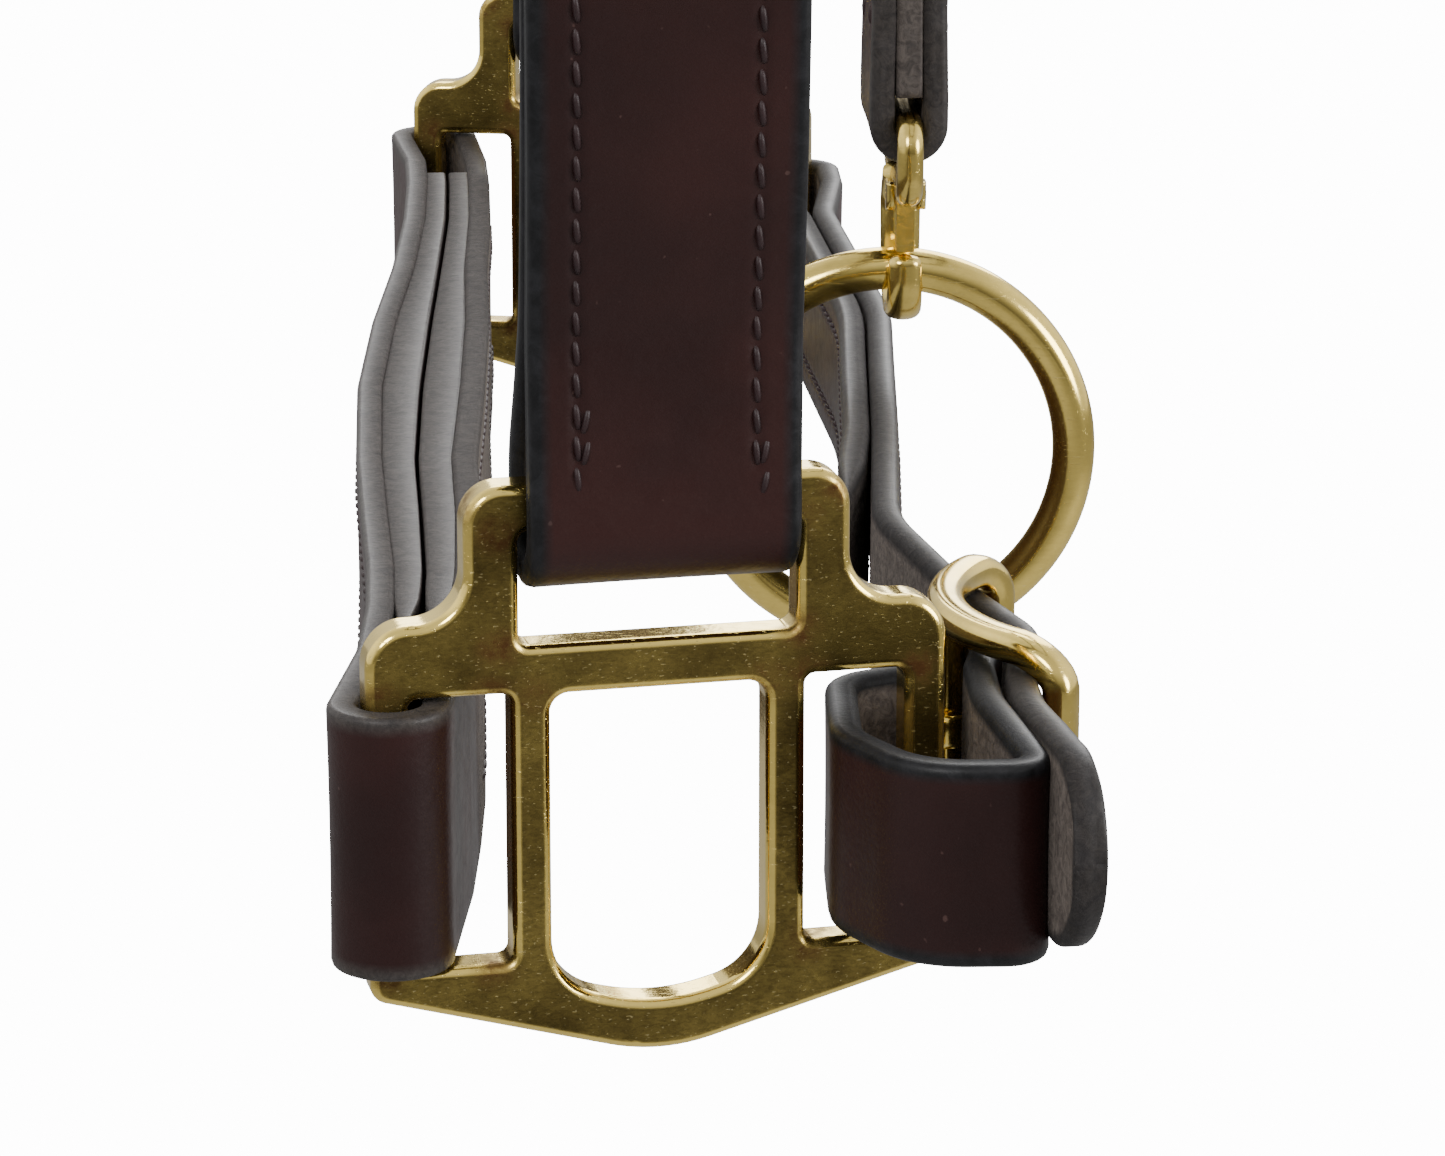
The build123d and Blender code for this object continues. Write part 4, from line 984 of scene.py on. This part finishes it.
throat_drop = radians(18)
throat_reach = 106.0
narrow_fold_rise = (
    sqrt(ring_radius ** 2 - (narrow_width / 2) ** 2) - ring_wire_radius - 0.5 - seat_gap - ply / 2
)
join = ring_outside + 14
half_throat = [
    (ring_out - ring_fold_radius, ring_outside), (ring_out - ring_fold_radius, narrow_fold_rise),
    (ring_out + ring_fold_radius, narrow_fold_rise), (ring_out + ring_fold_radius, ring_outside),
    (ring_out + waist, join), (ring_out + waist, throat_reach - 4), (ring_out - 60, throat_reach + waist),
]
back_half = [(-x, y) for x, y in half_throat[::-1]]
inner_run = [
    (ring_out - 60, throat_reach - waist), (ring_out - waist, throat_reach - 4 - waist),
    (ring_out - waist, join),
]
inner_run = [(-x, y) for x, y in inner_run[::-1]] + inner_run
throat_points = half_throat + back_half + inner_run
throat_radii = [
    8, ring_tight, ring_tight, 8, 8, 51.6, 81.6, 81.6, 51.6, 8, 8, ring_tight, ring_tight, 8, 8, 48.4, 78.4,
    78.4, 48.4, 8,
]
flat_path = rounded_path(throat_points, throat_radii, closed=True, step=0.8)
throat_out = np.array([cos(throat_drop), 0, -sin(throat_drop)])
throat_across = np.array([sin(throat_drop), 0, cos(throat_drop)])
places = np.array([0, 0, ring_z]) + flat_path[:, :1] * np.array([0, -1, 0]) + flat_path[:, 1:] * throat_out
strap(
    "throat_leather", "headcollar", ["throat_strap"], places, throat_across, narrow_width, ply, closed=True,
    rows=narrow_rows, sewn=[(0, 2000)], wave=0.08, seed=19,
)
stitching("throat_stitches", "headcollar", places, throat_across, narrow_rows, [(36, 436)], True, ply / 2)

# ======================================================================== Connector strap
# A short doubled strap hangs from a sleeve on the throat strap and is folded round the snap's eye.

snap_pivot = np.array(joints["snap_swing"]["pos_m"]) / mm
snap_x, snap_y, eye_z = snap_pivot
middle_x = throat_reach * cos(throat_drop)
middle_z = ring_z - throat_reach * sin(throat_drop)
through = np.array([cos(throat_drop), -sin(throat_drop)])
upward = np.array([sin(throat_drop), cos(throat_drop)])
centre = np.array([middle_x, middle_z])
half_through = doubled / 2 + seat_gap + ply / 2
half_across = narrow_width / 2 + seat_gap + ply / 2
start = centre - upward * (half_across + 12)
hanger_ply = 2.8
eye_turn = 1.5 + 0.12 + hanger_ply / 2
lap = hanger_ply + 0.15
lap_z = eye_z + 34
aside, above, below = through * half_through, upward * half_across, upward * (half_across - 2)
connector_points = np.array([
    centre - aside + above, centre + aside + above, centre + aside - below, start + through * lap,
    (snap_x + lap, lap_z), (snap_x + lap + 0.3, eye_z + 24),
    (snap_x + lap - 0.2, eye_z + 13), (snap_x + eye_turn, eye_z + 3), (snap_x + eye_turn, eye_z - eye_turn),
    (snap_x - eye_turn, eye_z - eye_turn), (snap_x - eye_turn, eye_z + 3), (snap_x - lap + 0.2, eye_z + 13),
    (snap_x - lap - 0.5, eye_z + 24), (snap_x - lap, lap_z), start - through * lap, centre - aside - below,
])
connector_radii = [1.6, 1.6, 3, 12, 40, 30, 12, 6, eye_turn - 0.01, eye_turn - 0.01, 6, 12, 30, 40, 12, 3]
flat_path = rounded_path(connector_points, connector_radii, closed=True, step=0.5)
places = np.insert(flat_path, 1, snap_y, axis=1)
reach = length_along(places)
down_side = np.where((flat_path[:, 1] > eye_z + 9) & (flat_path[:, 1] < start[1]))[0]
on_first = reach[down_side] < reach[-1] * 0.55
halves = (down_side[on_first], down_side[~on_first])
connector_spans = [(reach[run].min(), reach[run].max()) for run in halves]
strap(
    "connector_leather", "connector", ["connector_strap"], places, (0, 1, 0), narrow_width, hanger_ply,
    closed=True, rows=narrow_rows, sewn=connector_spans, wave=0.22, cup=0.1, worn=0.25, seed=23,
)
stitching(
    "connector_stitches", "connector", places, (0, 1, 0), narrow_rows, connector_spans, True, hanger_ply / 2,
)
filler = rounded_path([start + upward * 4, (snap_x, lap_z), (snap_x, eye_z + 3.2)], [55], step=0.8)
strap(
    "connector_filler", "connector", [], np.insert(filler, 1, snap_y, axis=1), (0, 1, 0), narrow_width - 0.4,
    hanger_ply + 0.2, wave=0.1, edge_round=0.5, worn=0.6, seed=29,
)

# ======================================================================== Snap hook
# A small cast brass snap: a square eye for the connector strap, a round hook for the chin ring, and a gate on
# a pin, held shut by a leaf of spring steel.

snap_brass = plain_brass("snap brass", 0.15, 0.2, 0.12, 0.25, 0.00005)
snap_stock, snap_deep = 3.0, 4.6
hook_turn = ring_wire_radius + 0.3 + snap_stock / 2
wire_z = chin_ring_centre[2] + sqrt(chin_ring_radius ** 2 - (snap_x - chin_ring_centre[0]) ** 2)
gate_pin = np.array(joints["gate_hinge"]["pos_m"]) / mm
eye_foot = eye_z - 7.6
eye_half = narrow_width / 2 + 0.4 + snap_stock / 2


def on_snap(flat):
    """Places on the snap's middle plane, from (across, height) pairs."""
    return np.stack([np.full(len(flat), snap_x), snap_y + flat[:, 0], flat[:, 1]], axis=1)


eye_corners = [(-eye_half, eye_z), (eye_half, eye_z), (eye_half, eye_foot), (-eye_half, eye_foot)]
eye_line = on_snap(rounded_path(eye_corners, [2.6] * 4, closed=True, step=0.5))
eye_loop = cast_bar("eye loop", eye_line, (1.0, 0, 0), snap_stock / 2, snap_stock / 2, True, 2.1)
hook_low = wire_z - hook_turn - 0.2
hook_points = [
    (0.6, eye_foot + 0.6), (hook_turn, eye_foot - 3.0), (hook_turn, hook_low), (-hook_turn, hook_low),
    (-hook_turn, wire_z + 2.6),
]
hook_line = on_snap(rounded_path(hook_points, [3.0, hook_turn - 0.01, hook_turn - 0.01], step=0.35))
along_hook = np.linspace(0, 1, len(hook_line))
hook_tip = np.sqrt(np.clip(1 - ((along_hook - 0.965) / 0.035).clip(0, 1) ** 2, 0.01, 1))
hook_bar = cast_bar(
    "hook bar", hook_line, (1.0, 0, 0), snap_stock / 2 * (1 - 0.12 * along_hook) * hook_tip,
    snap_deep / 2 * (1 - 0.20 * along_hook ** 2) * hook_tip, False, 2.3,
)
lug_round = 1.2
lug_round_z = gate_pin[2] - 0.6
heights = np.concatenate([
    np.linspace(eye_foot + 0.4, lug_round_z, 14),
    lug_round_z - lug_round * np.sin(np.linspace(0, pi / 2, 8))[1:],
])
lug_end = np.sqrt(np.clip(1 - ((lug_round_z - heights) / lug_round).clip(0, 1) ** 2, 0.01, 1))
lugs = []
for lug_side in (-1, 1):
    lug_line = on_snap(np.stack([np.full(len(heights), -hook_turn), heights], axis=1))
    lug_line[:, 0] += lug_side * 1.72
    lugs.append(cast_bar("lug", lug_line, (1.0, 0, 0), 1.75 * lug_end, 0.56, False, 3.0))
as_one("snap_hook_cast", [eye_loop, hook_bar] + lugs, "snap", ["snap_hook"], snap_brass)
for node in ("snap_gate", "snap_gate_pin"):
    dress(node, snap_brass)

steel_finish, given, gives = shader_group("spring steel finish", [("Vector", "Vector", (0, 0, 0))])
drawn = noise(steel_finish, given.outputs[0], 1800.0, 3.0)
steel_colour = mix_colour(steel_finish, drawn, (0.30, 0.31, 0.32, 1), (0.55, 0.55, 0.55, 1))
give(steel_finish, gives, steel_colour, math_node(steel_finish, "MULTIPLY_ADD", drawn, 0.2, 0.25), drawn)
spring_steel = finish_with(
    "spring steel", steel_finish, {"Vector": ("TexCoord", "", "Object")}, {"Metallic": 1.0}, 0.2, 0.00003,
)
dress("snap_gate_spring", spring_steel)

# ======================================================================== Studio
# A pale floor well below the headcollar, soft light from above and both sides, and the camera. To the camera
# the floor and the room are plain white, and to the brass they are a bright ceiling over a darker floor.

floor_mesh = bpy.data.meshes.new("floor")
spread, floor_z = 6.0, cad_box[0][2] - 0.35
floor_corners = [(spread * x, spread * y, floor_z) for x, y in ((-1, -1), (1, -1), (1, 1), (-1, 1))]
floor_mesh.from_pydata(floor_corners, [], [(0, 1, 2, 3)])
floor = bpy.data.objects.new("floor", floor_mesh)
bpy.context.scene.collection.objects.link(floor)
pale = bpy.data.materials.new("pale floor")
pale.use_nodes = True
tree = pale.node_tree
seen = add_node(tree, "LightPath")
matt = tree.nodes["Principled BSDF"]
matt.inputs["Base Color"].default_value = (0.30, 0.30, 0.30, 1)
matt.inputs["Roughness"].default_value = 0.9
white = add_node(tree, "Emission", {"Color": (1, 1, 1, 1), "Strength": 14.0})
either = add_node(
    tree, "MixShader", {0: seen.outputs["Is Camera Ray"], 1: matt.outputs[0], 2: white.outputs[0]},
)
tree.links.new(either.outputs[0], tree.nodes["Material Output"].inputs["Surface"])
floor_mesh.materials.append(pale)

world = bpy.data.worlds.new("studio")
bpy.context.scene.world = world
world.use_nodes = True
tree = world.node_tree
seen = add_node(tree, "LightPath")
way = add_node(tree, "SeparateXYZ", {0: add_node(tree, "TexCoord").outputs["Generated"]})
ceiling = ramp(tree, way.outputs["Z"], -0.15, 0.75)
behind = ramp(tree, way.outputs["Y"], -0.2, 0.9)
room = math_node(tree, "MULTIPLY_ADD", ceiling, 0.72, 0.11)
room = math_node(tree, "MULTIPLY_ADD", behind, 0.55, room)
beside = ramp(tree, math_node(tree, "ABSOLUTE", way.outputs["X"]), 0.45, 0.95)
room = math_node(tree, "MULTIPLY_ADD", beside, 0.75, room)
bright = add_node(
    tree, "Mix", {0: seen.outputs["Is Camera Ray"], 2: room, 3: 14.0}, data_type="FLOAT",
).outputs[0]
tree.nodes["Background"].inputs["Color"].default_value = (1, 1, 1, 1)
tree.links.new(bright, tree.nodes["Background"].inputs["Strength"])

aim = Vector((0, -half_span * mm, square_z * mm + 0.01))
for name, where, size, power in (
    ("key", (-0.5, -0.9, 0.75), 0.5, 9), ("side", (0.9, -0.35, 0.25), 0.5, 8),
    ("back", (0.15, 0.9, 0.55), 0.8, 9),
):
    light = bpy.data.lights.new(name, "AREA")
    light.shape, light.size, light.energy = "DISK", size, power
    lamp = bpy.data.objects.new(name, light)
    lamp.location = aim + Vector(where)
    lamp.rotation_euler = (aim - lamp.location).to_track_quat("-Z", "Y").to_euler()
    bpy.context.scene.collection.objects.link(lamp)

view = bpy.data.cameras.new("camera")
view.lens, view.sensor_width = 137.0, 36.0
camera = bpy.data.objects.new("camera", view)
camera.location = (-0.0105, -half_span * mm - 0.4761, square_z * mm + 0.1533)
camera.rotation_euler = (radians(74), 0, radians(-2))
bpy.context.scene.collection.objects.link(camera)
bpy.context.scene.camera = camera
